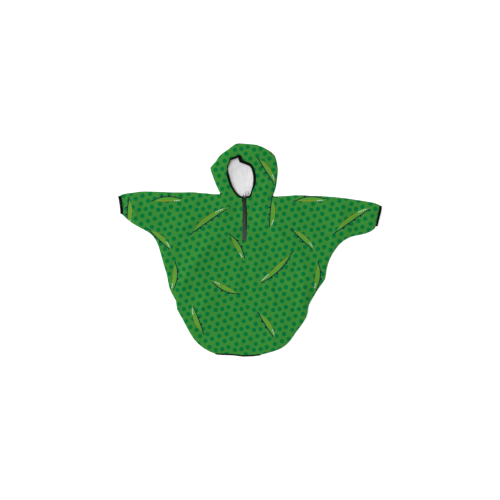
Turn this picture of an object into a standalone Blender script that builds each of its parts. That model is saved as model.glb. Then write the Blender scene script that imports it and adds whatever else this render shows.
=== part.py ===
"""A pull-on rain poncho for a dog, laid flat with its front up, modelled piece by piece as it is sewn.

Back and front panels are cut in one with their halves of the sleeves. The hood has a front with a bound
face opening, a back and a pale lining. A short zip closes the throat, and black binding finishes the
face opening, both cuffs and the middle of the hem.

The frame: +X to the right as the front is looked at, +Y towards the hood, +Z up from the surface that the
poncho lies on. The origin is the middle of the whole outline, on that surface. Every size below is in
millimetres, and one function turns it to metres.
"""

import math
from collections import namedtuple

import bmesh
import bpy
import numpy as np
from mathutils import Matrix, Vector

MM = 0.001

# ---- Driving sizes ----
CLOTH = 1.5  # wall of the coated shell cloth
LINING = 1.0  # wall of the thin hood lining
LINING_INSET = 9.0  # from the hood's seam to the edge of the lining
SEAM_GAP = 0.3  # between pieces that are sewn together
NECK_GAP = 0.4  # along the neck seam, where both edges are curved
BODY_RISE = 2.2  # how far the front panel lifts off the back, away from its seams
HOOD_RISE = 3.4  # the same in the hood, which is fuller
RISE_LENGTH = 9.0  # how far from a seam the cloth takes to lift
FOLD_FADE = 16.0  # how far from a seam a fold takes to reach its height
HEM_LIFT = 0.35  # share of the rise that the open hem keeps
CUFF_LIFT = 0.70  # share of the rise that the open cuffs keep

BINDING_OVER = 0.8  # how far binding stands above the cloth that it edges
BINDING_UNDER = 0.3  # and how far below
HEM_BINDING_OVER = 0.4

ZIP_LEFT = -22.8  # edges of the slit that shows the zip
ZIP_RIGHT = -11.3
ZIP_FOOT = 29.5  # bottom end of the slit
ZIP_TOP = 170.0  # top end of the tapes
ZIP_MIDDLE = (ZIP_LEFT + ZIP_RIGHT) / 2
TAPE_HALF = 13.0  # each tape, from the zip's middle to its outer edge
TAPE = 1.0
TAPE_BELOW = 0.7  # top of the tapes, under the underside of the front panel
TAPE_TAIL = 8.0  # tape hidden below the slit
COIL_HALF = 3.0
COIL_UNDER = 0.4  # underside of the coil, under the underside of the front panel
COIL = 1.8

SLIDER_LENGTH = 11.2
SLIDER_TOP_WIDTH = 8.6
SLIDER_FOOT_WIDTH = 6.4
SLIDER_PLATE = 1.6
SLIDER_CENTRE_Y = 167.8
FLANGE = 0.9
PIVOT_Y = 170.0  # the bail and the pull's pivot stand nearer the slider's top end
PIVOT_OVER_SLIDER = 1.75
BAIL_LEG = 2.9  # from the pivot to the middle of each leg of the bail
BAIL_WIRE = 1.0
BAIL_WIDTH = 1.2
BAIL_OVER_PIVOT = 1.3  # underside of the bail's top, over the pivot

PULL_TURN = 42.0  # degrees from the zip's line to the way the pull points
PULL_THICK = 1.2
PULL_LENGTH = 18.0
PULL_WIDTH = 6.0
EYE_CENTRE = 3.9
EYE_HOLE = 3.7
EYE_RING = 4.6
PULL_OVER_LINING = 0.3  # the tip of the pull rests this near the lining

# ---- Tables, one row for each section, edge point or fold ----
Rib = namedtuple("Rib", "top_x top_y low_x low_y")
Neck = namedtuple("Neck", "x y")
NeckRib = namedtuple("NeckRib", "top_x low_x low_y")
FaceSection = namedtuple("FaceSection", "rim_x rim_y seam_x seam_y edge_x edge_y")
BindingEnd = namedtuple("BindingEnd", "rim_x rim_y seam_x seam_y")
CuffPoint = namedtuple("CuffPoint", "share outer_x outer_y")
HemPoint = namedtuple("HemPoint", "x width")
Fold = namedtuple("Fold", "from_x from_y by_x by_y to_x to_y height left_width right_width")

# Ribs run from the shoulder edge down to the underarm, side or hem edge.
LEFT_RIBS = [
    Rib(-403.6, 172.1, -396.4, 108.2),
    Rib(-387.9, 176.4, -373.6, 87.6),
    Rib(-366, 179.2, -342, 68.8),
    Rib(-342, 182.5, -312.5, 51.9),
    Rib(-316, 182.9, -295.7, 32.5),
    Rib(-292, 182.2, -286.5, 12.8),
    Rib(-268, 181.3, -277.8, -16.2),
    Rib(-246, 180.2, -268.5, -50.1),
    Rib(-226, 180.2, -260, -76.9),
    Rib(-208, 180.2, -253.5, -111.7),
    Rib(-190, 180.6, -244.1, -136.8),
    Rib(-171.9, 180.2, -231.8, -158.2),
    Rib(-153.9, 178.2, -227.9, -184.2),
    Rib(-137, 177.1, -211.6, -214.3),
    Rib(-121, 175.3, -190.4, -254.2),
    Rib(-106, 174.6, -166.5, -288.5),
    Rib(-92, 174.2, -136.4, -311.6),
]
NECK_RIBS = [
    NeckRib(-75, -108.9, -323.5),
    NeckRib(-57, -84, -324.4),
    NeckRib(-39, -55, -325.3),
    NeckRib(ZIP_LEFT, ZIP_LEFT, -330),
    NeckRib(ZIP_RIGHT, ZIP_RIGHT, -329.2),
    NeckRib(8, 9, -328.2),
    NeckRib(28, 33, -327.1),
    NeckRib(49, 58.2, -320.6),
]
RIGHT_RIBS = [
    Rib(71, 167.4, 84.8, -312.4),
    Rib(89, 167.7, 107.6, -300),
    Rib(105.9, 168.8, 126, -282),
    Rib(122.9, 169.7, 143.5, -257.3),
    Rib(140, 171.2, 162.6, -231.4),
    Rib(157, 171, 178.3, -203.3),
    Rib(174.1, 170.8, 183.5, -173.8),
    Rib(191, 168.9, 198.8, -145.4),
    Rib(208, 169.2, 216, -117),
    Rib(225, 168.5, 234.3, -90.9),
    Rib(243, 166.9, 238.7, -64.3),
    Rib(262, 165.6, 247.4, -32.8),
    Rib(281, 163.6, 261.7, -5.8),
    Rib(301.1, 161.5, 284.5, 22.5),
    Rib(322.1, 158.3, 314, 40.5),
    Rib(344.1, 155, 345, 47.8),
    Rib(366, 151.3, 371.2, 55.4),
    Rib(387, 147.4, 388, 66.4),
    Rib(406, 140.2, 392.4, 73.4),
]
SEAM_END_LEFT = 11  # the ribs where the side seams stop and the open hem begins
SEAM_END_RIGHT = 31
ROW_SHARES = [0, 0.015, 0.04, 0.085, 0.14, 0.205, None, 0.34, 0.41, 0.48, 0.55, 0.62, 0.69, 0.76, 0.83,
              0.89, 0.935, 0.965, 0.985, 1]  # None is the row at the foot of the zip

NECKLINE = [
    Neck(-92, 174.6),
    Neck(-75, 172.0),
    Neck(-57, 168.2),
    Neck(-39, 164.8),
    Neck(ZIP_LEFT, 163.8),
    Neck(ZIP_RIGHT, 163.8),
    Neck(8, 164.0),
    Neck(28, 165.0),
    Neck(49, 166.4),
    Neck(71, 167.6),
]

# Sections of the hood's front, clockwise from the left of the zip: the rim of the face opening, the seam
# where binding meets cloth, and the hood's outer edge.
FACE_SECTIONS = [
    FaceSection(-33, 170.4, -37, 166.4, -38, 164.8),
    FaceSection(-41.6, 178.4, -47, 174.5, -62, 169.2),
    FaceSection(-47.3, 187, -53.2, 183.5, -92, 174.9),
    FaceSection(-53.1, 196.6, -59.3, 194, -100.7, 191.9),
    FaceSection(-61.3, 217.2, -67.8, 215.5, -111, 216),
    FaceSection(-65.6, 233.4, -72, 232.4, -118.8, 237.8),
    FaceSection(-68.4, 251.6, -73.8, 252, -123.9, 256.8),
    FaceSection(-65.6, 267.8, -71.3, 270, -107.3, 276.2),
    FaceSection(-58.8, 280.3, -62.8, 285.5, -93.9, 295.9),
    FaceSection(-46.3, 285, -48.5, 291.7, -66, 316),
    FaceSection(-37.6, 289, -35.6, 296.6, -46.6, 330.6),
    FaceSection(-34.9, 281, -27.6, 290, -34, 333.4),
    FaceSection(-31.5, 275, -25.4, 282.2, -22, 332.7),
    FaceSection(-18.8, 270, -15.5, 277, -0.9, 331),
    FaceSection(-6.3, 264.4, -1.5, 271, 23.9, 327.6),
    FaceSection(1.9, 257.5, 8, 262.3, 52, 314.9),
    FaceSection(7.5, 244.7, 14.3, 246.8, 76.7, 295.8),
    FaceSection(10.6, 230.9, 17.5, 231.5, 84.9, 267.1),
    FaceSection(11.1, 222, 17.9, 222.2, 86.8, 248),
    FaceSection(10.9, 214, 17.6, 214.6, 85.3, 229),
    FaceSection(8.8, 201.3, 15.3, 203, 83, 210.9),
    FaceSection(6.5, 193, 12.6, 194.6, 79.7, 192.3),
    FaceSection(4.1, 185.3, 10.1, 186.6, 71, 167.9),
    FaceSection(2.2, 178, 7.7, 178, 40, 166.1),
    FaceSection(0.6, 172.2, 6, 169.8, 14, 164.8),
    FaceSection(-0.9, 169.9, 2.9, 166.6, 4.6, 164.2),
]
CORNER_LEFT = 2  # the face sections that reach the two ends of the neck seam
CORNER_RIGHT = 22
BINDING_START = [
    BindingEnd(-24.2, 168.8, -24.2, 164.6),
    BindingEnd(-29.4, 168.7, -31.2, 164.6),
]
BINDING_FINISH = [
    BindingEnd(-2.4, 168.8, -0.4, 164.8),
    BindingEnd(-10.0, 168.7, -10.0, 164.6),
]

LEFT_CUFF = [
    CuffPoint(0.03, -412.2, 168.3),
    CuffPoint(0.30, -409.4, 153.8),
    CuffPoint(0.60, -406.7, 136.5),
    CuffPoint(0.97, -404.8, 113),
]
RIGHT_CUFF = [
    CuffPoint(0.02, 412.2, 136.8),
    CuffPoint(0.30, 409.8, 119.6),
    CuffPoint(0.62, 404.6, 99),
    CuffPoint(0.98, 398.3, 73.5),
]
HEM_BINDING = [
    HemPoint(-113, 1.4),
    HemPoint(-98, 3.2),
    HemPoint(-72, 3.8),
    HemPoint(-45, 3.1),
    HemPoint(-20, 3.1),
    HemPoint(0, 3.7),
    HemPoint(16, 3.6),
    HemPoint(27, 1.6),
]

# Folds of the front and of the hood: the line that each ridge follows, its height, and how wide it is on
# its left and right hand, going from its start to its end.
FOLDS = [
    Fold(-40, 88, -135, 30, -238, -140, 6.5, 17, 34),
    Fold(-70, 122, -180, 96, -292, 44, 4.6, 14, 26),
    Fold(-60, 76, -190, 40, -284, -14, 3.6, 15, 20),
    Fold(-240, 60, -262, 0, -250, -90, 3.2, 20, 20),
    Fold(12, 132, 98, 46, 196, -48, 5.4, 28, 16),
    Fold(66, 140, 150, 84, 240, 10, 3.0, 22, 18),
    Fold(-120, -120, -150, -160, -172, -224, 4.2, 20, 15),
    Fold(-34, -30, -40, -90, -38, -160, 2.8, 16, 12),
    Fold(-58, -220, -50, -270, -52, -322, 3.2, 18, 12),
    Fold(70, -215, 76, -262, 88, -306, 3.0, 14, 16),
    Fold(186, -58, 168, -130, 146, -226, 5.0, 20, 16),
    Fold(118, -60, 96, -130, 92, -200, 2.6, 22, 20),
    Fold(276, 150, 284, 96, 292, 42, 4.2, 15, 15),
    Fold(366, 138, 358, 104, 352, 66, 3.4, 13, 16),
    Fold(-372, 160, -358, 128, -338, 86, 3.2, 16, 14),
    Fold(-120, 160, -100, 130, -64, 118, 2.6, 14, 12),
    Fold(44, 156, 34, 120, 22, 80, 2.2, 12, 14),
    Fold(20, -10, 34, -90, 26, -180, 2.2, 24, 18),
    Fold(-116, 262, -92, 290, -42, 312, 3.4, 11, 11),
    Fold(-30, 300, 20, 304, 62, 270, 3.0, 12, 10),
    Fold(52, 262, 58, 222, 44, 182, 3.2, 12, 15),
    Fold(-104, 236, -88, 208, -66, 182, 2.6, 10, 12),
]
LINING_FOLDS = [
    Fold(-56, 258, -30, 246, -6, 250, 1.1, 8, 12),
    Fold(-34, 268, -22, 226, -26, 184, 1.0, 9, 9),
    Fold(-46, 204, -28, 188, -4, 192, 0.9, 7, 9),
]

STEPS_PER_GAP = 2  # mesh steps between one row of a section table and the next


# ---- Curves ----
def smooth(points, per_gap=STEPS_PER_GAP):
    """Points on a smooth run through the given ones: a centripetal Catmull-Rom curve."""
    given = np.asarray(points, float)
    held = np.vstack([2 * given[0] - given[1], given, 2 * given[-1] - given[-2]])
    run = []
    for a, b, c, d in zip(held, held[1:], held[2:], held[3:]):
        ab, bc, cd = [math.sqrt(np.linalg.norm(end - start)) for start, end in ((a, b), (b, c), (c, d))]
        slope_b = bc * ((b - a) / ab - (c - a) / (ab + bc) + (c - b) / bc)
        slope_c = bc * ((c - b) / bc - (d - b) / (bc + cd) + (d - c) / cd)
        for t in np.arange(per_gap) / per_gap:
            from_start = (2 * t ** 3 - 3 * t ** 2 + 1) * b + (t ** 3 - 2 * t ** 2 + t) * slope_b
            from_end = (3 * t ** 2 - 2 * t ** 3) * c + (t ** 3 - t ** 2) * slope_c
            run.append(from_start + from_end)
    run.append(given[-1])
    return np.array(run)


def neckline(x):
    """Height of the neck seam on the page at each x."""
    rows = smooth([(row.x, row.y) for row in NECKLINE])
    return np.interp(x, rows[:, 0], rows[:, 1])


def distance_to(points, line):
    """Distance from each point to the nearest place on a line of points."""
    start, run = line[:-1], np.diff(line, axis=0)
    offset = points[:, None, :] - start[None, :, :]
    share = np.clip((offset * run).sum(2) / (run * run).sum(1), 0, 1)
    return np.linalg.norm(offset - share[:, :, None] * run, axis=2).min(1)


# ---- The outline, worked out once from the tables ----
def body_edges():
    """The top edge and the low edge of the body panels, each with the same number of points."""
    left = smooth([(rib.top_x, rib.top_y) for rib in LEFT_RIBS])
    right = smooth([(rib.top_x, rib.top_y) for rib in RIGHT_RIBS])
    neck_x = [left[-1][0]] + [rib.top_x for rib in NECK_RIBS] + [right[0][0]]
    neck_x = smooth([(x, 0) for x in neck_x])[:, 0]
    neck = np.column_stack([neck_x, neckline(neck_x) - NECK_GAP])
    top = np.vstack([left[:-1], neck, right[1:]])
    low = smooth([(rib.low_x, rib.low_y) for rib in [*LEFT_RIBS, *NECK_RIBS, *RIGHT_RIBS]])
    return top, low


TOP_EDGE, LOW_EDGE = body_edges()
BINDING_ROWS = [*BINDING_START, *FACE_SECTIONS, *BINDING_FINISH]
BINDING_RIM = smooth([(row.rim_x, row.rim_y) for row in BINDING_ROWS])
BINDING_SEAM = smooth([(row.seam_x, row.seam_y) for row in BINDING_ROWS])
FACE_SEAM = BINDING_SEAM[len(BINDING_START) * STEPS_PER_GAP:-len(BINDING_FINISH) * STEPS_PER_GAP]


def hood_edge():
    """The hood's outer edge: along the neck seam, round the crown, and back along the neck seam."""
    rows = [(row.edge_x, row.edge_y) for row in FACE_SECTIONS]
    parts = [rows[:CORNER_LEFT + 1], rows[CORNER_LEFT:CORNER_RIGHT + 1], rows[CORNER_RIGHT:]]
    before, crown, after = [smooth(part) for part in parts]
    for run in (before, after):
        run[:, 1] = neckline(run[:, 0])
    return np.vstack([before[:-1], crown, after[1:]]), crown


HOOD_EDGE, CROWN = hood_edge()
NECK_LEFT = (len(LEFT_RIBS) - 1) * STEPS_PER_GAP
NECK_RIGHT = (len(LEFT_RIBS) + len(NECK_RIBS)) * STEPS_PER_GAP
HEM_FROM = SEAM_END_LEFT * STEPS_PER_GAP
HEM_TO = SEAM_END_RIGHT * STEPS_PER_GAP
SEWN_EDGES = [
    TOP_EDGE[:NECK_LEFT + 1],
    CROWN,
    TOP_EDGE[NECK_RIGHT:],
    LOW_EDGE[:HEM_FROM + 1],
    LOW_EDGE[HEM_TO:],
]
HEM_EDGE = LOW_EDGE[HEM_FROM:HEM_TO + 1]
CUFF_EDGES = [np.array([TOP_EDGE[0], LOW_EDGE[0]]), np.array([TOP_EDGE[-1], LOW_EDGE[-1]])]


# ---- Heights ----
def fold_heights(points, folds):
    """The height that all the folds together add at each point."""
    total = np.zeros(len(points))
    for fold in folds:
        share = np.linspace(0, 1, 25)[:, None]
        start, by, end = np.array(fold[:6]).reshape(3, 2)
        line = (1 - share) ** 2 * start + 2 * share * (1 - share) * by + share ** 2 * end
        run = np.diff(line, axis=0)
        offset = points[:, None, :] - line[None, :-1, :]
        along = np.clip((offset * run).sum(2) / (run * run).sum(1), 0, 1)
        away = offset - along[:, :, None] * run
        distance = np.linalg.norm(away, axis=2)
        nearest = distance.argmin(1)
        rows = np.arange(len(points))
        side = run[nearest, 0] * away[rows, nearest, 1] - run[nearest, 1] * away[rows, nearest, 0]
        width = np.where(side > 0, fold.left_width, fold.right_width)
        travel = (nearest + along[rows, nearest]) / len(run)
        taper = np.sin(math.pi * travel) ** 0.7
        total += fold.height * taper * np.exp(-((distance[rows, nearest] / width) ** 2))
    return total


def cloth_underside(points):
    """Height of the underside of the front panel and of the hood's front at each point."""
    points = np.asarray(points, float)
    sewn = np.min([distance_to(points, edge) for edge in SEWN_EDGES], axis=0)
    hem = distance_to(points, HEM_EDGE)
    cuff = np.min([distance_to(points, edge) for edge in CUFF_EDGES], axis=0)
    lift = np.minimum(1 - np.exp(-sewn / RISE_LENGTH), 1 - (1 - HEM_LIFT) * np.exp(-hem / RISE_LENGTH))
    lift = np.minimum(lift, 1 - (1 - CUFF_LIFT) * np.exp(-cuff / RISE_LENGTH))
    hood = np.clip((points[:, 1] - 135) / 40, 0, 1) * (np.abs(points[:, 0]) < 135)
    near_neck = np.clip((135 - np.abs(points[:, 0] + 12)) / 40, 0, 1)
    share = hood * hood * (3 - 2 * hood) * near_neck
    rise = BODY_RISE + (HOOD_RISE - BODY_RISE) * share
    folds = fold_heights(points, FOLDS) * (1 - np.exp(-sewn / FOLD_FADE))
    return CLOTH + SEAM_GAP + rise * lift + folds


def lining_underside(points):
    """Height of the lining's underside, which lies on the hood's back."""
    return CLOTH + SEAM_GAP + fold_heights(np.asarray(points, float), LINING_FOLDS)


# ---- Meshes and materials ----
def plain_material(name, colour, roughness, metallic=0.0):
    """A Principled material, its colour given as sRGB hex."""
    material = bpy.data.materials.new(name)
    material.use_nodes = True
    shader = material.node_tree.nodes["Principled BSDF"]
    srgb = [int(colour[i:i + 2], 16) / 255 for i in (1, 3, 5)]
    linear = [c / 12.92 if c <= 0.04045 else ((c + 0.055) / 1.055) ** 2.4 for c in srgb]
    shader.inputs["Base Color"].default_value = (*linear, 1)
    shader.inputs["Roughness"].default_value = roughness
    shader.inputs["Metallic"].default_value = metallic
    material.diffuse_color = (*linear, 1)
    return material


def add_mesh(name, points, faces, material):
    """An object from points in millimetres and faces, smooth but for its sharp edges."""
    mesh = bpy.data.meshes.new(name)
    mesh.from_pydata([Vector(p) * MM for p in points], [], faces)
    mesh.validate()
    mesh.materials.append(material)
    mesh.shade_smooth()
    mesh.set_sharp_from_angle(angle=math.radians(40))
    obj = bpy.data.objects.new(name, mesh)
    bpy.context.scene.collection.objects.link(obj)
    return obj


def add_wall(name, outline_points, faces, underside, thickness, material):
    """A wall of cloth: the flat mesh at its underside and again one thickness up, closed all round."""
    flat = np.asarray(outline_points, float)
    count = len(flat)
    low = np.column_stack([flat, underside])
    high = np.column_stack([flat, underside + thickness])
    edges = {(face[i], face[(i + 1) % len(face)]) for face in faces for i in range(len(face))}
    sides = [(a, b, b + count, a + count) for a, b in edges if (b, a) not in edges]
    solid = [tuple(i + count for i in face) for face in faces]
    solid += [tuple(reversed(face)) for face in faces]
    return add_mesh(name, np.vstack([low, high]), solid + sorted(sides), material)


def grid_faces(columns, rows, skip=()):
    """Quads of a grid whose points run down each column in turn, leaving out the cells in skip."""
    return [
        (i * rows + j, i * rows + j + 1, (i + 1) * rows + j + 1, (i + 1) * rows + j)
        for i in range(columns - 1)
        for j in range(rows - 1)
        if (i, j) not in skip
    ]


def add_strip(name, inner, outer, low, high, material):
    """A flat strip between two runs of points, from the height low to high at each pair."""
    inner, outer = np.asarray(inner, float), np.asarray(outer, float)
    corners = [(inner, low[0]), (outer, low[1]), (outer, high[1]), (inner, high[0])]
    rings = np.stack([np.column_stack([line, height]) for line, height in corners], axis=1)
    count = len(rings)
    faces = [
        (4 * i + k, 4 * i + (k + 1) % 4, 4 * (i + 1) + (k + 1) % 4, 4 * (i + 1) + k)
        for i in range(count - 1)
        for k in range(4)
    ]
    faces += [(3, 2, 1, 0), tuple(4 * (count - 1) + k for k in range(4))]
    obj = add_mesh(name, rings.reshape(-1, 3), faces, material)
    turn_outward(obj)
    return obj


def turn_outward(obj):
    """Points every face of a closed mesh outwards."""
    shape = bmesh.new()
    shape.from_mesh(obj.data)
    bmesh.ops.recalc_face_normals(shape, faces=shape.faces)
    shape.to_mesh(obj.data)
    shape.free()


def add_prism(name, outline, low, high, material):
    """A flat outline raised from one height to another."""
    count = len(outline)
    points = [(x, y, low) for x, y in outline] + [(x, y, high) for x, y in outline]
    faces = [tuple(range(count)), tuple(range(2 * count - 1, count - 1, -1))]
    faces += [(i, i + count, (i + 1) % count + count, (i + 1) % count) for i in range(count)]
    obj = add_mesh(name, points, faces, material)
    turn_outward(obj)
    return obj


def combine(obj, tool, operation):
    """Joins a tool shape to an object, or cuts it away, and hides the tool."""
    modifier = obj.modifiers.new(operation.lower(), "BOOLEAN")
    modifier.operation = operation
    modifier.solver = "EXACT"
    modifier.object = tool
    tool.hide_render = True
    tool.display_type = "WIRE"


# ---- Body panels ----
def row_shares():
    """Where the rows of the front panel lie, as shares of each rib."""
    top = neckline(ZIP_LEFT) - NECK_GAP
    foot = LOW_EDGE[rib_of(ZIP_LEFT)][1]
    at_zip_foot = (top - ZIP_FOOT) / (top - foot)
    return [at_zip_foot if share is None else share for share in ROW_SHARES]


def rib_of(neck_x):
    """The column of the neck rib at this x."""
    order = [rib.top_x for rib in NECK_RIBS].index(neck_x)
    return (len(LEFT_RIBS) + order) * STEPS_PER_GAP


def add_front_body(material):
    shares = np.array(row_shares())
    ribs = TOP_EDGE[:, None, :] * (1 - shares)[None, :, None] + LOW_EDGE[:, None, :] * shares[None, :, None]
    points = ribs.reshape(-1, 2)
    rows_above_foot = ROW_SHARES.index(None)
    slit = {(i, j) for i in range(rib_of(ZIP_LEFT), rib_of(ZIP_RIGHT)) for j in range(rows_above_foot)}
    faces = grid_faces(len(TOP_EDGE), len(shares), slit)
    used = sorted({i for face in faces for i in face})
    renumber = {old: new for new, old in enumerate(used)}
    faces = [tuple(renumber[i] for i in face) for face in faces]
    points = points[used]
    return add_wall("front_body", points, faces, cloth_underside(points), CLOTH, material)


def add_back_body(material):
    outline = [*LOW_EDGE, *TOP_EDGE[::-1]]
    return add_prism("back_body", outline, 0, CLOTH, material)


# ---- Hood ----
def toward(start, end, distance):
    """The point this far from start on the way to end, row by row."""
    way = end - start
    return start + way / np.linalg.norm(way, axis=1)[:, None] * np.reshape(distance, (-1, 1))


def beside(line, distance):
    """The line moved sideways, to its left hand."""
    along = np.gradient(line, axis=0)
    left = np.column_stack([-along[:, 1], along[:, 0]]) / np.linalg.norm(along, axis=1)[:, None]
    return line + left * np.reshape(distance, (-1, 1))


def add_hood_front(material):
    inner = beside(FACE_SEAM, SEAM_GAP + 0.05)
    shares = np.array([0, 0.12, 0.3, 0.5, 0.7, 0.88, 1])
    points = inner[:, None, :] * (1 - shares)[None, :, None] + HOOD_EDGE[:, None, :] * shares[None, :, None]
    points = points.reshape(-1, 2)
    rows = len(shares)
    faces = [tuple(reversed(face)) for face in grid_faces(len(inner), rows)]
    return add_wall("hood_front", points, faces, cloth_underside(points), CLOTH, material)


def under_neck(lift):
    """The neck seam from right to left between the two ends of the hood's front, raised by lift."""
    x = smooth([(row.x, 0) for row in NECKLINE])[::-1, 0]
    x = x[(x < HOOD_EDGE[-1][0]) & (x > HOOD_EDGE[0][0])]
    return np.column_stack([x, neckline(x) + lift])


def add_hood_back(material):
    outline = [*HOOD_EDGE, *under_neck(0)]
    return add_prism("hood_back", outline, 0, CLOTH, material)


def add_hood_lining(material):
    """Rings that close in on the middle of the face opening, from just inside the hood's seam."""
    middle = BINDING_RIM.mean(axis=0)
    crown = toward(CROWN, middle, LINING_INSET)
    neck_x = np.linspace(crown[-1][0] - 5, crown[0][0] + 5, 13)
    outer = np.vstack([crown, np.column_stack([neck_x, neckline(neck_x) + 1])])
    shares = np.array([1, 0.8, 0.6, 0.4, 0.2])
    rings = middle + (outer - middle)[:, None, :] * shares[None, :, None]
    points = np.vstack([rings.reshape(-1, 2), middle])
    rows, count = len(shares), len(outer)
    faces = []
    for i in range(count):
        after = (i + 1) % count
        for j in range(rows - 1):
            faces.append((i * rows + j, i * rows + j + 1, after * rows + j + 1, after * rows + j))
        faces.append((i * rows + rows - 1, count * rows, after * rows + rows - 1))
    return add_wall("hood_lining", points, faces, lining_underside(points), LINING, material)


# ---- Binding ----
def add_face_binding(material):
    """Rounded binding round the face opening, from one side of the zip to the other."""
    rim, seam = BINDING_RIM, BINDING_SEAM
    profile = [(0.0, 0.35), (0.18, 1.0), (0.8, 1.0), (1.0, 0.72), (1.0, 0.1), (0.18, 0.0)]
    base = cloth_underside(seam) - BINDING_UNDER
    thickness = CLOTH + BINDING_UNDER + BINDING_OVER
    rings = [
        np.column_stack([rim + (seam - rim) * across, base + thickness * up]) for across, up in profile
    ]
    sides, count = len(profile), len(rim)
    points = np.stack(rings, axis=1).reshape(-1, 3)
    faces = [
        (sides * i + k, sides * i + (k + 1) % sides, sides * (i + 1) + (k + 1) % sides, sides * (i + 1) + k)
        for i in range(count - 1)
        for k in range(sides)
    ]
    faces += [tuple(range(sides)), tuple(sides * (count - 1) + k for k in range(sides))]
    obj = add_mesh("face_binding", points, faces, material)
    turn_outward(obj)
    return obj


def add_cuff_binding(name, top, low, table, material):
    """A flattened loop of binding at a cuff: one layer on each panel's edge, joined at both ends."""
    stations = 13
    share = np.linspace(table[0].share, table[-1].share, stations)
    outer = smooth([(row.outer_x, row.outer_y) for row in table], 4)
    outer = np.array([outer[round(i * (len(outer) - 1) / (stations - 1))] for i in range(stations)])
    cloth = top + (low - top) * share[:, None]
    inner = toward(cloth, outer, SEAM_GAP)
    underside = cloth_underside(cloth)
    roof = underside + CLOTH + HEM_BINDING_OVER
    ceiling = underside - 0.1
    floor = 2.0
    points = []
    for line in (inner, outer):
        points += [(x, y, 0) for x, y in line]
        points += [(x, y, z) for (x, y), z in zip(line, roof)]
        points += [(x, y, floor) for x, y in line[1:-1]]
        points += [(x, y, z) for (x, y), z in zip(line[1:-1], ceiling[1:-1])]
    side = 4 * stations - 4
    ground, top_row, sill, lintel = 0, stations, 2 * stations, 3 * stations - 2
    last = stations - 1
    faces = []
    for j in range(last):
        faces += quad_across(ground + j, ground + j + 1, side) + quad_across(top_row + j, top_row + j + 1, side)
    for j in range(stations - 3):
        faces += quad_across(sill + j, sill + j + 1, side) + quad_across(lintel + j, lintel + j + 1, side)
        for shift in (0, side):
            faces.append(tuple(i + shift for i in (ground + j + 1, ground + j + 2, sill + j + 1, sill + j)))
            faces.append(tuple(i + shift for i in (lintel + j, lintel + j + 1, top_row + j + 2, top_row + j + 1)))
    faces += quad_across(ground, top_row, side) + quad_across(ground + last, top_row + last, side)
    faces += quad_across(sill, lintel, side) + quad_across(sill + last - 2, lintel + last - 2, side)
    for shift in (0, side):
        near = (ground, ground + 1, sill, lintel, top_row + 1, top_row)
        far = (ground + last, ground + last - 1, sill + last - 2, lintel + last - 2, top_row + last - 1,
               top_row + last)
        faces += [tuple(i + shift for i in near), tuple(i + shift for i in far)]
    obj = add_mesh(name, points, faces, material)
    turn_outward(obj)
    return obj


def quad_across(a, b, side):
    """The quad from the edge a to b on one side of the binding to the same edge on the other."""
    return [(a, b, b + side, a + side)]


def add_hem_bindings(material):
    """The black edge along the middle of the hem, on the front panel and on the back panel."""
    first, last = HEM_BINDING[0].x, HEM_BINDING[-1].x
    edge = LOW_EDGE[(LOW_EDGE[:, 0] >= first - 4) & (LOW_EDGE[:, 0] <= last + 8)]
    width = np.interp(edge[:, 0], [row.x for row in HEM_BINDING], [row.width for row in HEM_BINDING])
    inner = beside(edge, -SEAM_GAP)
    outer = beside(edge, -SEAM_GAP - width)
    low = cloth_underside(edge) - 0.1
    high = low + CLOTH + HEM_BINDING_OVER
    add_strip("hem_binding_front", inner, outer, (low, low), (high, high - 0.4), material)
    ground = np.zeros(len(edge))
    add_strip("hem_binding_back", inner, outer, (ground, ground), (ground + 1.9, ground + 1.6), material)


# ---- Zip ----
def add_zip(tape_material, coil_material):
    """Two tapes under the edges of the slit, and the closed coil between them."""
    y = np.linspace(ZIP_TOP, ZIP_FOOT - TAPE_TAIL, 15)
    middle = np.column_stack([np.full(len(y), ZIP_MIDDLE), y])
    for name, hand in (("zip_tape_left", -1), ("zip_tape_right", 1)):
        near, far = middle.copy(), middle.copy()
        near[:, 0] += hand * SEAM_GAP / 2
        far[:, 0] += hand * TAPE_HALF
        tops = [cloth_underside(line) - TAPE_BELOW for line in (near, far)]
        lows = [top - TAPE for top in tops]
        add_strip(name, near, far, lows, tops, tape_material)
    y = np.linspace(ZIP_TOP - 0.5, ZIP_FOOT + SEAM_GAP, 15)
    left, right = (np.column_stack([np.full(len(y), ZIP_MIDDLE + hand * COIL_HALF), y]) for hand in (-1, 1))
    low = cloth_underside(np.column_stack([np.full(len(y), ZIP_MIDDLE), y])) - COIL_UNDER
    low = np.maximum(low, np.maximum(cloth_underside(left), cloth_underside(right)) - COIL_UNDER)
    add_strip("zip_coil", left, right, (low, low), (low + COIL, low + COIL), coil_material)


def slider_top():
    """Height of the slider's upper face."""
    reach = SLIDER_LENGTH / 2
    spots = [(ZIP_MIDDLE + x, SLIDER_CENTRE_Y + y) for x in (-3, 0, 3) for y in (-reach, 0, reach)]
    return cloth_underside(spots).max() - COIL_UNDER + COIL + SEAM_GAP + SLIDER_PLATE


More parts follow.
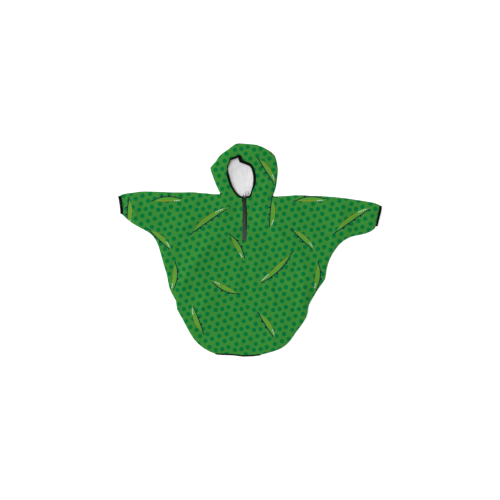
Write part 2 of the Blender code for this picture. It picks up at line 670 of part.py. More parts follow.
def add_slider(material):
    """The slider's plate with a flange at each side of the coil, and the bail that holds the pull."""
    top = slider_top()
    half = SLIDER_LENGTH / 2
    plan = [
        (-SLIDER_FOOT_WIDTH / 2 + 0.8, -half),
        (SLIDER_FOOT_WIDTH / 2 - 0.8, -half),
        (SLIDER_FOOT_WIDTH / 2 + 0.7, -half + 1.2),
        (SLIDER_TOP_WIDTH / 2, half - 3.5),
        (SLIDER_TOP_WIDTH / 2 - 0.9, half - 0.6),
        (SLIDER_TOP_WIDTH / 2 - 2.4, half),
        (-SLIDER_TOP_WIDTH / 2 + 2.4, half),
        (-SLIDER_TOP_WIDTH / 2 + 0.9, half - 0.6),
        (-SLIDER_TOP_WIDTH / 2, half - 3.5),
        (-SLIDER_FOOT_WIDTH / 2 - 0.7, -half + 1.2),
    ]
    place = [(ZIP_MIDDLE + x, SLIDER_CENTRE_Y + y) for x, y in plan]
    slider = add_prism("zip_slider", place, top - SLIDER_PLATE, top, material)
    for hand in (-1, 1):
        inner = ZIP_MIDDLE + hand * (COIL_HALF + SEAM_GAP)
        outer = inner + hand * FLANGE
        box = [(inner, SLIDER_CENTRE_Y - 3), (outer, SLIDER_CENTRE_Y - 3), (outer, SLIDER_CENTRE_Y + 3),
               (inner, SLIDER_CENTRE_Y + 3)]
        side = add_prism("flange", box, top - SLIDER_PLATE - COIL, top - 1.0, material)
        combine(slider, side, "UNION")
    combine(slider, add_bail(top, material), "UNION")
    return slider


def add_bail(top, material):
    """The arch over the slider, as a profile in the plane of the zip's line, BAIL_WIDTH wide."""
    inner = BAIL_LEG - BAIL_WIRE / 2
    outer = BAIL_LEG + BAIL_WIRE / 2
    ceiling = PIVOT_OVER_SLIDER + BAIL_OVER_PIVOT
    roof = ceiling + BAIL_WIRE
    half_profile = [(outer, -0.8), (outer, ceiling - 0.2), (outer - 0.6, roof), (inner - 0.5, ceiling),
                    (inner, ceiling - 0.5), (inner, -0.8)]
    right = [half_profile[i] for i in (0, 1, 2)]
    inside = [half_profile[i] for i in (5, 4, 3)]
    profile = right + [(-y, z) for y, z in reversed(right)] + [(-y, z) for y, z in inside] + inside[::-1]
    points = [
        (ZIP_MIDDLE + x, PIVOT_Y + y, top + z)
        for x in (-BAIL_WIDTH / 2, BAIL_WIDTH / 2)
        for y, z in profile
    ]
    count = len(profile)
    faces = [tuple(range(count)), tuple(range(2 * count - 1, count - 1, -1))]
    faces += [(i, i + count, (i + 1) % count + count, (i + 1) % count) for i in range(count)]
    obj = add_mesh("bail", points, faces, material)
    turn_outward(obj)
    return obj


def add_pull(material):
    """The pull tab: a ring round the bail and a rounded tab, turning on the ring's bar under the bail."""
    half = PULL_WIDTH / 2
    joined = math.asin(half / EYE_RING)
    ring = [
        (EYE_RING * math.sin(a), EYE_CENTRE + EYE_RING * math.cos(a))
        for a in np.linspace(joined, 2 * math.pi - joined, 21)
    ]
    end_centre = PULL_LENGTH - half
    round_end = [(half * math.cos(a), end_centre + half * math.sin(a)) for a in np.linspace(math.pi, 0, 9)]
    pull = add_prism("zip_pull", ring + round_end, -PULL_THICK / 2, PULL_THICK / 2, material)
    hole = [
        (EYE_HOLE * math.cos(a), EYE_CENTRE + EYE_HOLE * math.sin(a))
        for a in np.arange(20) * 2 * math.pi / 20
    ]
    combine(pull, add_prism("eye_cutter", hole, -PULL_THICK, PULL_THICK, material), "DIFFERENCE")
    pivot_height = slider_top() + PIVOT_OVER_SLIDER
    turn = math.radians(PULL_TURN)
    tip = np.array([ZIP_MIDDLE, PIVOT_Y]) + PULL_LENGTH * np.array([math.sin(turn), math.cos(turn)])
    lining_top = lining_underside([tip + (x, y) for x in (-3, 0, 3) for y in (-3, 0, 3)]).max() + LINING
    drop = math.asin((pivot_height - lining_top - PULL_OVER_LINING - PULL_THICK / 2) / PULL_LENGTH)
    stance = (
        Matrix.Translation(Vector((ZIP_MIDDLE, PIVOT_Y, pivot_height)) * MM)
        @ Matrix.Rotation(-turn, 4, "Z")
        @ Matrix.Rotation(-drop, 4, "X")
    )
    pull.matrix_world = stance
    bpy.data.objects["eye_cutter"].matrix_world = stance
    return pull


# ---- Assembly ----
def main():
    for obj in list(bpy.data.objects):
        bpy.data.objects.remove(obj)
    shell = plain_material("coated shell cloth", "#3D8B37", 0.55)
    lining = plain_material("pale lining", "#E4E4E4", 0.8)
    binding = plain_material("black binding", "#0B0B0C", 0.75)
    tape = plain_material("zip tape", "#3A383B", 0.8)
    coil = plain_material("zip coil", "#343236", 0.45)
    metal = plain_material("zip metal", "#8C8C90", 0.35, 1.0)
    add_back_body(shell)
    add_front_body(shell)
    add_hood_back(shell)
    add_hood_lining(lining)
    add_hood_front(shell)
    add_face_binding(binding)
    add_cuff_binding("cuff_binding_left", TOP_EDGE[0], LOW_EDGE[0], LEFT_CUFF, binding)
    add_cuff_binding("cuff_binding_right", TOP_EDGE[-1], LOW_EDGE[-1], RIGHT_CUFF, binding)
    add_hem_bindings(binding)
    add_zip(tape, coil)
    add_slider(metal)
    add_pull(metal)


main()
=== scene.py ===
# %% [markdown]
# # A rain poncho for a dog, laid flat
#
# The poncho lies on a pale floor with its front up: a back and a front panel cut in one with the sleeves, a
# hood with a bound face opening, and a short zip. A solid model of it, the frame, gives every place and size.
# Here each cloth piece is remade as a thin shell on its solid's form, creased, printed, sewn and lit.

# %% Load the frame
import math
from collections import namedtuple

import bpy
import numpy as np
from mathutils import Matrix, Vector
from mathutils.bvhtree import BVHTree


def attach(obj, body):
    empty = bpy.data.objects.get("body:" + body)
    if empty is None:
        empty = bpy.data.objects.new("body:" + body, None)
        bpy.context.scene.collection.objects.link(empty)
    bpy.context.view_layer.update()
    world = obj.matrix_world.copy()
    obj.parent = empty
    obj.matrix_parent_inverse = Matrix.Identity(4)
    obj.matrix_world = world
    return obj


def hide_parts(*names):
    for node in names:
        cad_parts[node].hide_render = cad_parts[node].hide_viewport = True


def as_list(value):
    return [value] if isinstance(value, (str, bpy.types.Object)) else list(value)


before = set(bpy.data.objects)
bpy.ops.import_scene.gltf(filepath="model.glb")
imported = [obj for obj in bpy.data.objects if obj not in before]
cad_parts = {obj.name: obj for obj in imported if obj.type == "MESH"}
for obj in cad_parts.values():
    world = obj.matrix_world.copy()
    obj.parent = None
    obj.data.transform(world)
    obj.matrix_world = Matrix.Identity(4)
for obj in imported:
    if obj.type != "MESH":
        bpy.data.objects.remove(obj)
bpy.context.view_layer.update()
MM = 0.001
GARMENT = "garment"
PULL = "pull"
print("solids:", len(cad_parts))

# %% [markdown]
# ## Working in edit mode from a script
#
# An operator works on whatever is selected, as it does by hand. So each step first lets everything go, takes
# one piece, and picks its faces or edges by their place or by the way they face. These few helpers do that.


# %% Selecting and editing
def let_go():
    """Leaves edit mode and selects nothing."""
    if bpy.context.object and bpy.context.object.mode != "OBJECT":
        bpy.ops.object.mode_set(mode="OBJECT")
    bpy.ops.object.select_all(action="DESELECT")


def take(piece):
    """Makes this piece the only one selected."""
    let_go()
    piece.select_set(True)
    bpy.context.view_layer.objects.active = piece


def pick(piece, kind, choose):
    """In edit mode with only some faces or edges selected: choose is given all and says yes or no for each."""
    take(piece)
    bpy.ops.object.mode_set(mode="EDIT")
    bpy.ops.mesh.select_mode(type=kind)
    bpy.ops.mesh.select_all(action="DESELECT")
    bpy.ops.object.mode_set(mode="OBJECT")
    parts = piece.data.polygons if kind == "FACE" else piece.data.edges
    parts.foreach_set("select", choose(parts))
    bpy.ops.object.mode_set(mode="EDIT")


def pick_faces(piece, wanted):
    """Picks those faces that wanted says yes to."""
    pick(piece, "FACE", lambda faces: [bool(wanted(face)) for face in faces])


def pick_edges(piece, numbers):
    """Picks the edges of these numbers."""
    pick(piece, "EDGE", lambda edges: np.isin(np.arange(len(edges)), numbers))


def pick_all(piece):
    """In edit mode with all of the piece selected."""
    take(piece)
    bpy.ops.object.mode_set(mode="EDIT")
    bpy.ops.mesh.select_all(action="SELECT")


def shade_smooth(piece, degrees):
    """Shades the piece smooth, but for edges that are sharper than this."""
    take(piece)
    bpy.ops.object.shade_smooth_by_angle(angle=math.radians(degrees))


def new_piece(name, mesh):
    """A new object with this mesh, in the scene."""
    piece = bpy.data.objects.new(name, mesh)
    bpy.context.scene.collection.objects.link(piece)
    return piece


def finish_modifier(piece, kind, **settings):
    """Adds a modifier, gives it its settings and applies it."""
    take(piece)
    modifier = piece.modifiers.new(kind.lower(), kind)
    for name, value in settings.items():
        setattr(modifier, name, value)
    bpy.ops.object.modifier_apply(modifier=modifier.name)


def points_of(piece):
    """The piece's points in millimetres, as rows of x, y and z. Edit mode is left first."""
    if piece.mode == "EDIT":
        let_go()
    flat = np.empty(len(piece.data.vertices) * 3)
    piece.data.vertices.foreach_get("co", flat)
    return flat.reshape(-1, 3) / MM


def place_points(piece, points):
    """Moves the piece's points to these rows of millimetres."""
    piece.data.vertices.foreach_set("co", (np.asarray(points) * MM).ravel())
    piece.data.update()


def open_edges(piece):
    """The outline of an open sheet: its edges that have one face only, and the two ends of each on the page."""
    corners = np.empty(len(piece.data.loops), int)
    piece.data.loops.foreach_get("edge_index", corners)
    ends = np.empty(len(piece.data.edges) * 2, int)
    piece.data.edges.foreach_get("vertices", ends)
    outline = np.flatnonzero(np.bincount(corners, minlength=len(piece.data.edges)) == 1)
    return outline, points_of(piece)[ends.reshape(-1, 2)[outline]][:, :, :2]


# %% [markdown]
# ## Thin cloth from a thick solid
#
# The real cloth is a coated weave about a fifth of a millimetre thick, far thinner than its solid. It could be
# drawn again from its outline, but the solid's upper surface already has the right outline and the large
# folds. So each panel starts as a copy of that surface: the faces that look up are kept, joined back into
# quads and smoothed by subdivision. It gets its thickness at the very end.


# %% Upper skins
SHARP_CORNER = math.radians(17)
SAME_POINT = 0.01
LOOKS_UP = 0.35  # the least height of an upward face's normal
QUADS = {"face_threshold": math.radians(60), "shape_threshold": math.radians(60)}
DRAWN_IN = 6  # subdivision draws an outline's point in by a sixth of the ways to its two neighbours


def hold_outline(piece):
    """Marks the sharp corners of the outline, and swells its curves by what subdivision will take off them."""
    outline, ends = open_edges(piece)
    around = {}
    for edge, (start, end) in zip(outline, ends):
        first, last = piece.data.edges[edge].vertices
        around.setdefault(first, []).append(end - start)
        around.setdefault(last, []).append(start - end)
    hold = piece.data.attributes.new("crease_vert", "FLOAT", "POINT")
    for point, ways in around.items():
        if len(ways) == 2:
            one, other = (Vector(way) for way in ways)
            if one.angle(-other) > SHARP_CORNER:
                hold.data[point].value = 1.0
            else:
                spot = piece.data.vertices[point].co
                spot.xy = spot.xy - (one + other) / DRAWN_IN * MM


def welded(node, name):
    """A copy of a solid with its points welded, in edit mode and all selected."""
    piece = new_piece(name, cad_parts[node].data.copy())
    piece.data.materials.clear()
    pick_all(piece)
    bpy.ops.mesh.remove_doubles(threshold=SAME_POINT * MM)
    return piece


def upper_skin(node, name, levels):
    """A smooth open sheet: the upper surface of a solid, with its triangles joined and subdivided."""
    piece = welded(node, name)
    pick_faces(piece, lambda face: face.normal.z < LOOKS_UP)
    bpy.ops.mesh.delete(type="FACE")
    pick_all(piece)
    bpy.ops.mesh.tris_convert_to_quads(**QUADS)
    let_go()
    hold_outline(piece)
    finish_modifier(piece, "SUBSURF", levels=levels, render_levels=levels, boundary_smooth="PRESERVE_CORNERS")
    print(name, "skin:", len(piece.data.polygons), "faces")
    return piece


front = upper_skin("front_body", "front_panel", 2)
hood = upper_skin("hood_front", "hood_front_panel", 2)
lining = upper_skin("hood_lining", "hood_lining_cloth", 3)

# %% [markdown]
# ## Where the edges are
#
# An edge behaves as it was sewn. A seam pulls both panels together and leaves them rounded beside it, a hem
# lies loose, and the slit's edges are turned under along the zip. The outline of a sheet is its edges that
# have one face only, so they are found in the mesh and then sorted by where they lie. The slit's two sides
# aren't quite straight, so a short table moves them left or right by height.

# %% Named places on the cut
ZIP_MIDDLE = -17.05
ZIP_HALF = 5.75
ZIP_FOOT = 29.5
NECK_TOP = 160.0
NECK_LEFT = -91.0
NECK_RIGHT = 70.0
HEM_LEFT = (-231.5, -158.2)
HEM_RIGHT = (183.5, -173.8)
CUFF_LEFT = -396.0
CUFF_RIGHT = 391.5
SLIT_FADE = 6.0
SLIT_SLACK = (0.6, 1.0)  # across and down, for telling the slit's edges from others
BATCH = 1500  # points compared at a time, to save memory


def hem_side(x, y):
    """True below the line from one end of the open hem to the other."""
    slope = (HEM_RIGHT[1] - HEM_LEFT[1]) / (HEM_RIGHT[0] - HEM_LEFT[0])
    return y < HEM_LEFT[1] + slope * (x - HEM_LEFT[0])


def sort_body_edges(edges):
    """The outline of a body panel sorted as seam, neck, cuff, hem and slit."""
    x, y = edges.mean(axis=1).T
    run = np.abs(edges[:, 1] - edges[:, 0])
    slit = (np.abs(x - ZIP_MIDDLE) < ZIP_HALF + SLIT_SLACK[0]) & (y > ZIP_FOOT - SLIT_SLACK[1])
    hem = hem_side(x, y)
    cuff = ((x < CUFF_LEFT) | (x > CUFF_RIGHT)) & (run[:, 1] > run[:, 0])
    neck = (x > NECK_LEFT) & (x < NECK_RIGHT) & (y > NECK_TOP) & ~slit
    return {"seam": ~(slit | hem | cuff | neck), "neck": neck, "cuff": cuff, "hem": hem, "slit": slit}


def edge_lines(piece, sort):
    """The outline's edges by kind, as pairs of points on the page."""
    found = open_edges(piece)[1]
    return {kind: found[chosen] for kind, chosen in sort(found).items()}


def distance_to(spots, edges):
    """How far each point on the page is from the nearest of these edges."""
    start, run = edges[:, 0], edges[:, 1] - edges[:, 0]
    size = np.maximum((run * run).sum(axis=1), 1e-9)
    nearest = np.empty(len(spots))
    for first in range(0, len(spots), BATCH):
        offset = spots[first:first + BATCH, None, :2] - start[None]
        share = np.clip((offset * run).sum(axis=2) / size, 0, 1)
        nearest[first:first + BATCH] = np.linalg.norm(offset - share[:, :, None] * run, axis=2).min(axis=1)
    return nearest


SlitShift = namedtuple("SlitShift", "y left right")
SLIT_SHIFTS = [SlitShift(*row) for row in (
    (26.0, 0.0, 0.0), (32.0, -0.5, 0.3), (60.0, -0.3, 0.9), (80.0, -0.1, 1.9), (110.0, 0.4, 1.9),
    (125.0, 0.0, 1.2), (145.0, -0.7, 0.2), (163.0, -1.2, 0.1),
)]
front_edges = edge_lines(front, sort_body_edges)
spots = points_of(front)
rows, left, right = np.array(SLIT_SHIFTS).T
on_left = spots[:, 0] < ZIP_MIDDLE
shift = np.where(on_left, np.interp(spots[:, 1], rows, left), np.interp(spots[:, 1], rows, right))
spots[:, 0] += shift * np.exp(-distance_to(spots, front_edges["slit"]) / SLIT_FADE)
place_points(front, spots)
print({kind: len(edges) for kind, edges in front_edges.items()})

# %% [markdown]
# ## Creases
#
# Light cloth that has been folded away and laid out keeps soft creases, and pulls into drag lines from the
# neck to the underarms. Each one here has its own line, height and widths, all in millimetres: a ridge is
# positive and a trough negative. Left and right say how far it fades out on each side of its line. They add to
# the large folds of the solid.

# %% A table of creases
Crease = namedtuple("Crease", "from_x from_y by_x by_y to_x to_y height left right")
FRONT_CREASES = [Crease(*row) for row in (
    (-70, 72, -194, -30, -230, -152, 3.5, 34, 13), (-118, 112, -195, 108, -224, 40, 4.2, 18, 18),
    (-25, 78, -55, 62, -88, 50, 4.2, 25, 9), (-70, 166, -74, 140, -64, 108, 4.2, 18, 18),
    (-108, -105, -140, -130, -156, -235, 1.3, 13, 13), (-42, -25, -42, -90, -36, -160, 0.6, 9, 18),
    (-80, -45, -100, -80, -118, -118, -0.4, 46, 18), (-62, -60, -70, -110, -62, -150, 1.2, 18, 6),
    (-48, -190, -44, -245, -40, -310, -4.1, 34, 25), (-68, -168, -82, -185, -104, -200, -1.8, 25, 9),
    (-160, -235, -152, -265, -140, -300, -2.1, 34, 13), (-112, -245, -108, -275, -112, -310, -0.5, 13, 34),
    (-246, -55, -248, -75, -238, -100, -3.3, 60, 60), (-275, -14, -245, -8, -205, -14, -3.6, 46, 46),
    (-302, 52, -275, 70, -245, 92, -1.3, 18, 46), (-372, 142, -362, 120, -352, 98, 4.0, 6, 18),
    (-268, 178, -275, 150, -300, 120, 3.5, 60, 34), (-165, 178, -160, 168, -150, 158, 1.9, 9, 25),
    (-222, 142, -215, 115, -210, 85, 4.0, 34, 25), (-62, 50, -68, 20, -92, -20, 3.8, 18, 34),
    (-330, 150, -318, 120, -292, 90, 2.0, 18, 14), (-200, -160, -190, -185, -176, -215, -1.0, 6, 18),
    (-140, -60, -150, -90, -176, -130, 3.2, 25, 60), (28, 106, 80, 48, 160, 4, 3.8, 6, 18),
    (160, 8, 169, -70, 167, -195, 1.8, 6, 18), (112, 6, 104, -30, 106, -62, 1.8, 6, 18),
    (135, -82, 130, -110, 142, -140, 4.2, 34, 18), (62, -95, 70, -130, 84, -185, 3.0, 6, 18),
    (44, -120, 46, -160, 42, -215, 1.1, 6, 18), (285, 148, 287, 90, 266, 18, 1.3, 46, 18),
    (338, 145, 343, 100, 336, 55, -4.0, 25, 13), (388, 145, 384, 110, 374, 66, 2.6, 34, 13),
    (316, 148, 328, 128, 350, 112, -2.3, 25, 60), (68, -232, 66, -265, 72, -302, 1.8, 6, 18),
    (100, -232, 98, -260, 104, -292, 1.1, 34, 13), (205, 92, 208, 76, 216, 60, 1.2, 46, 25),
    (20, 2, 34, -22, 46, -52, -0.7, 34, 13), (64, 162, 70, 150, 62, 134, -1.9, 6, 18),
    (2, 156, -2, 140, 2, 118, 3.4, 6, 13), (112, 142, 140, 118, 172, 92, -1.3, 46, 60),
    (158, 12, 180, -20, 204, -48, -1.4, 34, 13), (234, -8, 222, -50, 212, -86, -1.1, 9, 25),
    (8, -240, 18, -280, 14, -316, -1.0, 18, 14), (4, -36, 6, -90, 0, -150, 0.9, 14, 6),
    (18, 62, 44, 30, 84, 2, -2.7, 6, 18), (-20, 30, -26, 5, -22, -20, -0.9, 60, 34),
    (-90, -210, -84, -250, -80, -300, -2.3, 60, 60), (120, -160, 124, -200, 118, -240, 3.4, 13, 18),
    (240, 140, 236, 110, 246, 70, 1.1, 34, 25), (-130, 60, -190, 20, -260, -10, -1.6, 6, 18),
    (-330, 175, -300, 140, -240, 110, 2.0, 60, 34), (30, -20, 40, -120, 30, -260, -0.6, 6, 18),
    (-100, -30, -110, -120, -130, -260, 1.1, 6, 9), (190, 150, 230, 110, 240, 50, -2.9, 25, 60),
    (110, -150, 130, -200, 110, -290, -2.4, 34, 13), (-60, 170, -50, 120, -36, 60, -2.7, 60, 60),
    (180, -60, 190, -110, 178, -180, 4.2, 60, 60), (-206, -60, -212, -110, -222, -150, 2.0, 18, 10),
    (-246, 40, -232, 0, -226, -50, 2.2, 14, 10), (84, 70, 100, 40, 116, 0, 1.6, 10, 16),
    (268, 60, 262, 20, 250, -20, 2.4, 18, 10), (-30, -250, -26, -285, -32, -318, 1.6, 9, 9),
    (0, -290, 10, -305, 20, -318, -1.6, 14, 14),
)]
HOOD_CREASES = [Crease(*row) for row in (
    (-104, 205, -130, 250, -82, 302, -2.2, 14, 18), (-92, 262, -94, 282, -70, 304, -2.2, 25, 9),
    (-72, 306, -60, 300, -56, 288, 0.9, 9, 6), (-84, 296, -78, 280, -72, 262, 1.4, 25, 13),
    (46, 304, 60, 280, 74, 262, -1.2, 9, 25), (86, 232, 60, 212, 56, 178, 1.7, 25, 13),
    (36, 262, 44, 246, 38, 232, -1.6, 25, 13), (70, 270, 64, 250, 70, 236, -1.4, 6, 18),
    (-98, 252, -92, 235, -90, 214, -1.6, 13, 9), (-82, 210, -78, 196, -84, 180, -0.8, 18, 18),
    (30, 222, 34, 204, 24, 184, -1.3, 18, 18),
)]
LINING_CREASES = [Crease(*row) for row in (
    (-16, 274, -42, 258, -66, 250, 1.6, 6, 14), (-60, 264, -62, 242, -59, 220, 1.2, 5, 8),
    (-42, 226, -40, 210, -39, 192, 1.0, 4, 6), (-51, 226, -51, 214, -50, 204, 0.8, 3, 5),
    (-32, 199, -16, 194, 8, 195, 1.0, 6, 1.6), (-32, 196, -16, 190.5, 8, 191.5, -1.2, 1.8, 1.8),
    (-19, 227, -20, 218, -24, 208, 0.8, 2.2, 4), (-4, 215, -3.5, 205, -3, 195, 0.8, 2.2, 4),
    (2, 234, 2, 227, 2, 219, 0.8, 2.5, 4), (-11, 264, -11, 250, -11, 234, 0.8, 3, 7),
    (-44, 240, -44, 228, -46, 214, 0.4, 3, 4), (-29, 191, -28, 184, -27, 175, -0.7, 3, 3),
    (-21, 190, -15, 187, -5, 184, 0.6, 4, 2), (-41, 192, -35, 187, -31, 179, 0.5, 3, 4),
    (-66, 262, -72, 232, -48, 194, 1.2, 16, 12), (-28, 284, -58, 272, -56, 230, -1.0, 22, 9),
    (-52, 258, -54, 222, -33, 178, -1.6, 20, 9), (10, 256, 16, 225, 6, 186, 1.9, 9, 14),
    (-20, 180, -24, 205, -22, 236, -1.2, 26, 22),
)]
BACK_CREASES = [Crease(*row) for row in (
    (-60, 110, -140, 70, -232, 20, 3.4, 16, 20), (-40, 70, -110, 0, -176, -96, 3.0, 18, 24),
    (30, 104, 96, 48, 176, -30, 3.2, 20, 16), (70, 130, 150, 92, 250, 50, 2.4, 16, 18),
    (-300, 150, -310, 110, -296, 62, 2.2, 14, 14), (300, 142, 310, 104, 300, 58, 2.2, 14, 14),
    (-20, -40, -28, -130, -14, -230, 2.2, 18, 18), (96, -80, 88, -160, 104, -250, 2.6, 18, 16),
    (-120, -140, -110, -220, -124, -290, 2.4, 16, 18), (20, 20, 40, -60, 36, -140, 1.8, 16, 16),
)]
CREASE_POINTS = 21
CREASE_TAPER = 0.8


def crease_heights(spots, creases):
    """The height that all the creases together add at each point."""
    total = np.zeros(len(spots))
    share = np.linspace(0, 1, CREASE_POINTS)[:, None]
    rows = np.arange(len(spots))
    for crease in creases:
        start, by, end = np.array(crease[:6]).reshape(3, 2)
        line = (1 - share) ** 2 * start + 2 * share * (1 - share) * by + share ** 2 * end
        run = np.diff(line, axis=0)
        offset = spots[:, None, :2] - line[None, :-1]
        along = np.clip((offset * run).sum(axis=2) / (run * run).sum(axis=1), 0, 1)
        away = offset - along[:, :, None] * run
        distance = np.linalg.norm(away, axis=2)
        near = distance.argmin(axis=1)
        turned = run[near, 0] * away[rows, near, 1] - run[near, 1] * away[rows, near, 0]
        width = np.where(turned > 0, crease.left, crease.right)
        taper = np.sin(math.pi * (near + along[rows, near]) / len(run)) ** CREASE_TAPER
        total += crease.height * taper * np.exp(-((distance[rows, near] / width) ** 2))
    return total


def ripple(spots, length, height, turn):
    """Faint ripples over a whole panel, about this far apart. The bare factors only keep them uneven."""
    x, y = spots[:, 0], spots[:, 1]
    across = x * math.cos(turn) + y * math.sin(turn)
    along = y * math.cos(turn) - x * math.sin(turn)
    beat = np.sin(across * 2 * math.pi / length + 1.7 * np.sin(along / length * 1.3))
    return height * beat * np.sin(along * 2 * math.pi / (2.3 * length) + 0.8 * np.sin(across / length))


# %% [markdown]
# ## Edges that are sewn
#
# A seam could be a piece of its own, but what the eye reads is the round shoulder of cloth on both sides of
# it. So the sheets roll down over the last few millimetres: the front comes down to the seam, the back comes
# up to it, and along the neck the body and the hood dip into one soft groove. Beside the throat the front's
# neck edge is tucked up under the hood, as the real seam hides it.

# %% Roll the front down to its seams
SEAM_TOP = 1.35
SEAM_ROLL = 7.0
TUCK = (2.6, -0.5)
TUCK_SPAN = (-66.0, -52.0, 16.0, 28.0)
TUCK_FADE = 3.0
FRONT_RIPPLE = (46, 0.15, 0.5)  # length, height and turn, as for the ripples below
CALM_REACH = {"seam": 14.0, "neck": 10.0, "slit": 9.0, "face": 9.0, "cuff": 9.0}
EdgeDrop = namedtuple("EdgeDrop", "depth width")
EDGE_DROPS = {
    "neck": EdgeDrop(0.35, 4.0),
    "slit": EdgeDrop(1.3, 3.0),
    "hem": EdgeDrop(1.8, 7.0),
    "face": EdgeDrop(0.6, 3.0),
    "cuff": EdgeDrop(0.8, 4.0),
}


def rolled(distance, width):
    """0 at an edge and 1 from this width inwards, as a quarter of a circle."""
    inward = np.clip(distance / width, 0, 1)
    return np.sqrt(1 - (1 - inward) ** 2)


def settle_front(piece, edges, creases):
    """Adds creases away from the edges and rolls each edge down as it is sewn. Gives the change in height."""
    spots = points_of(piece)
    solid = spots[:, 2].copy()
    away = {kind: distance_to(spots, found) for kind, found in edges.items() if len(found)}
    calm = np.ones(len(spots))
    for kind in away.keys() & CALM_REACH.keys():
        calm *= 1 - np.exp(-away[kind] / CALM_REACH[kind])
    spots[:, 2] += calm * (crease_heights(spots, creases) + ripple(spots, *FRONT_RIPPLE))
    spots[:, 2] = SEAM_TOP + (spots[:, 2] - SEAM_TOP) * rolled(away["seam"], SEAM_ROLL)
    for kind in away.keys() & EDGE_DROPS.keys():
        spots[:, 2] -= EDGE_DROPS[kind].depth * (1 - rolled(away[kind], EDGE_DROPS[kind].width))
    spots[:, 2] = np.maximum(spots[:, 2], SEAM_TOP)
    place_points(piece, spots)
    return spots[:, 2] - solid


front_change = settle_front(front, front_edges, FRONT_CREASES)
front_skin = points_of(front)
spots = front_skin.copy()
tuck = np.exp(-distance_to(spots, front_edges["neck"]) / TUCK_FADE)
tuck *= np.interp(spots[:, 0], TUCK_SPAN, (0, 1, 1, 0))
spots[:, 1:] += tuck[:, None] * TUCK
place_points(front, spots)
print("front panel stands", round(points_of(front)[:, 2].max(), 1), "mm high at most")

# %% [markdown]
# ## The hood's front and its bound edge
#
# The hood's front is cut round the face opening, and a folded tape binds that edge. The tape isn't equally wide
# all round: a table by angle, counted from the opening's right side, moves its rim and its seam edge into the
# opening, or outwards where the number is negative. The cloth must follow the tape's seam edge so that it ends
# under the tape. At the throat both draw in to the corners by the zip.

# %% The hood's front, whose inner edge is bound
FACE_MIDDLE = (-28.0, 228.0)
FACE_REACH = (60.0, 80.0)
NECK_CLOSE = 0.35
NECK_WIDTH = 4.0
NECK_JOINS = (-38.0, 13.0)
RIGHT_CORNER = (4.0, 165.3)
TAPE_WIDTH = 8.0
TAPE_FADE = 6.0
UNDER_TAPE = 1.8
THROAT_TOP = 176.0
THROAT_FADE = 6.0
THROAT_CLOSE = 1.8
THROAT_SPREAD = 9.0
THROAT_SPOTS = (-36, -30, -8, -2, 20)
THROAT_DRAW = (1, 0, 0, -1, 0)
TapeShift = namedtuple("TapeShift", "turn rim seam")
TAPE_SHIFTS = [TapeShift(*row) for row in (
    (-66, 0.0, 1.2), (-57, 0.0, 1.6), (-52, 0.4, 2.2), (-48, -0.8, 2.4), (-42, 0.7, -0.4), (-28, 1.7, -1.7),
    (-5, 1.4, -1.3), (10, 1.0, -2.0), (25, 0.9, -1.0), (48, -0.5, -1.8), (62, 1.0, -1.2), (82, 1.2, -0.4),
    (87, 1.8, -2.4), (91, 2.2, -7.2), (96, 0.8, -0.8), (101, 0.6, 0.6), (112, 0.9, -0.3), (121, -0.3, -0.1),
    (130, 0.0, 4.8), (140, -1.4, 2.1), (150, -3.4, 2.9), (160, -0.1, 0.1), (172, 1.6, -0.9), (182, 1.9, -1.5),
    (195, 0.9, -0.6), (215, 0.7, -0.7), (235, 0.7, 0.3),
)]


def into_opening(spots, seam):
    """The way into the face opening at each point, square to the nearest edge, and how far in the point is."""
    offset = spots[:, None, :2] - seam.mean(axis=1)[None]
    nearest = np.linalg.norm(offset, axis=2).argmin(axis=1)
    run = seam[nearest, 1] - seam[nearest, 0]
    inner = np.column_stack([-run[:, 1], run[:, 0]]) / np.linalg.norm(run, axis=1)[:, None]
    inner *= np.sign((inner * (np.array(FACE_MIDDLE) - spots[:, :2])).sum(axis=1))[:, None]
    return inner, (offset[np.arange(len(spots)), nearest] * inner).sum(axis=1)


def tape_shift(spots):
    """How far the tape's rim and its seam edge lie further into the opening than its solid, at each point."""
    turn = np.degrees(np.arctan2(spots[:, 1] - FACE_MIDDLE[1], spots[:, 0] - FACE_MIDDLE[0]))
    turn = np.where(turn < TAPE_SHIFTS[0].turn, turn + 360, turn)
    above_throat = 1 - close_throat(spots)[0]
    turns, rim, seam = np.array(TAPE_SHIFTS).T
    return above_throat * np.interp(turn, turns, rim), above_throat * np.interp(turn, turns, seam)


def close_throat(spots):
    """How much each point belongs to the throat, and how far the opening's corners are drawn in there."""
    share = np.clip((THROAT_TOP - spots[:, 1]) / THROAT_FADE, 0, 1)
    return share, share * THROAT_CLOSE * np.interp(spots[:, 0], THROAT_SPOTS, THROAT_DRAW)


def sort_hood_edges(edges):
    """The outline of the hood's front sorted as seam, neck and the bound face opening."""
    x, y = edges.mean(axis=1).T
    run = np.abs(edges[:, 1] - edges[:, 0])
    reach = np.hypot((x - FACE_MIDDLE[0]) / FACE_REACH[0], (y - FACE_MIDDLE[1]) / FACE_REACH[1])
    beside = (x < NECK_JOINS[0]) | (x > NECK_JOINS[1]) | ((x > RIGHT_CORNER[0]) & (y < RIGHT_CORNER[1]))
    neck = (y < THROAT_TOP) & (run[:, 0] > run[:, 1]) & beside
    face = (reach < 1.0) & ~neck
    return {"seam": ~(neck | face), "neck": neck, "face": face}


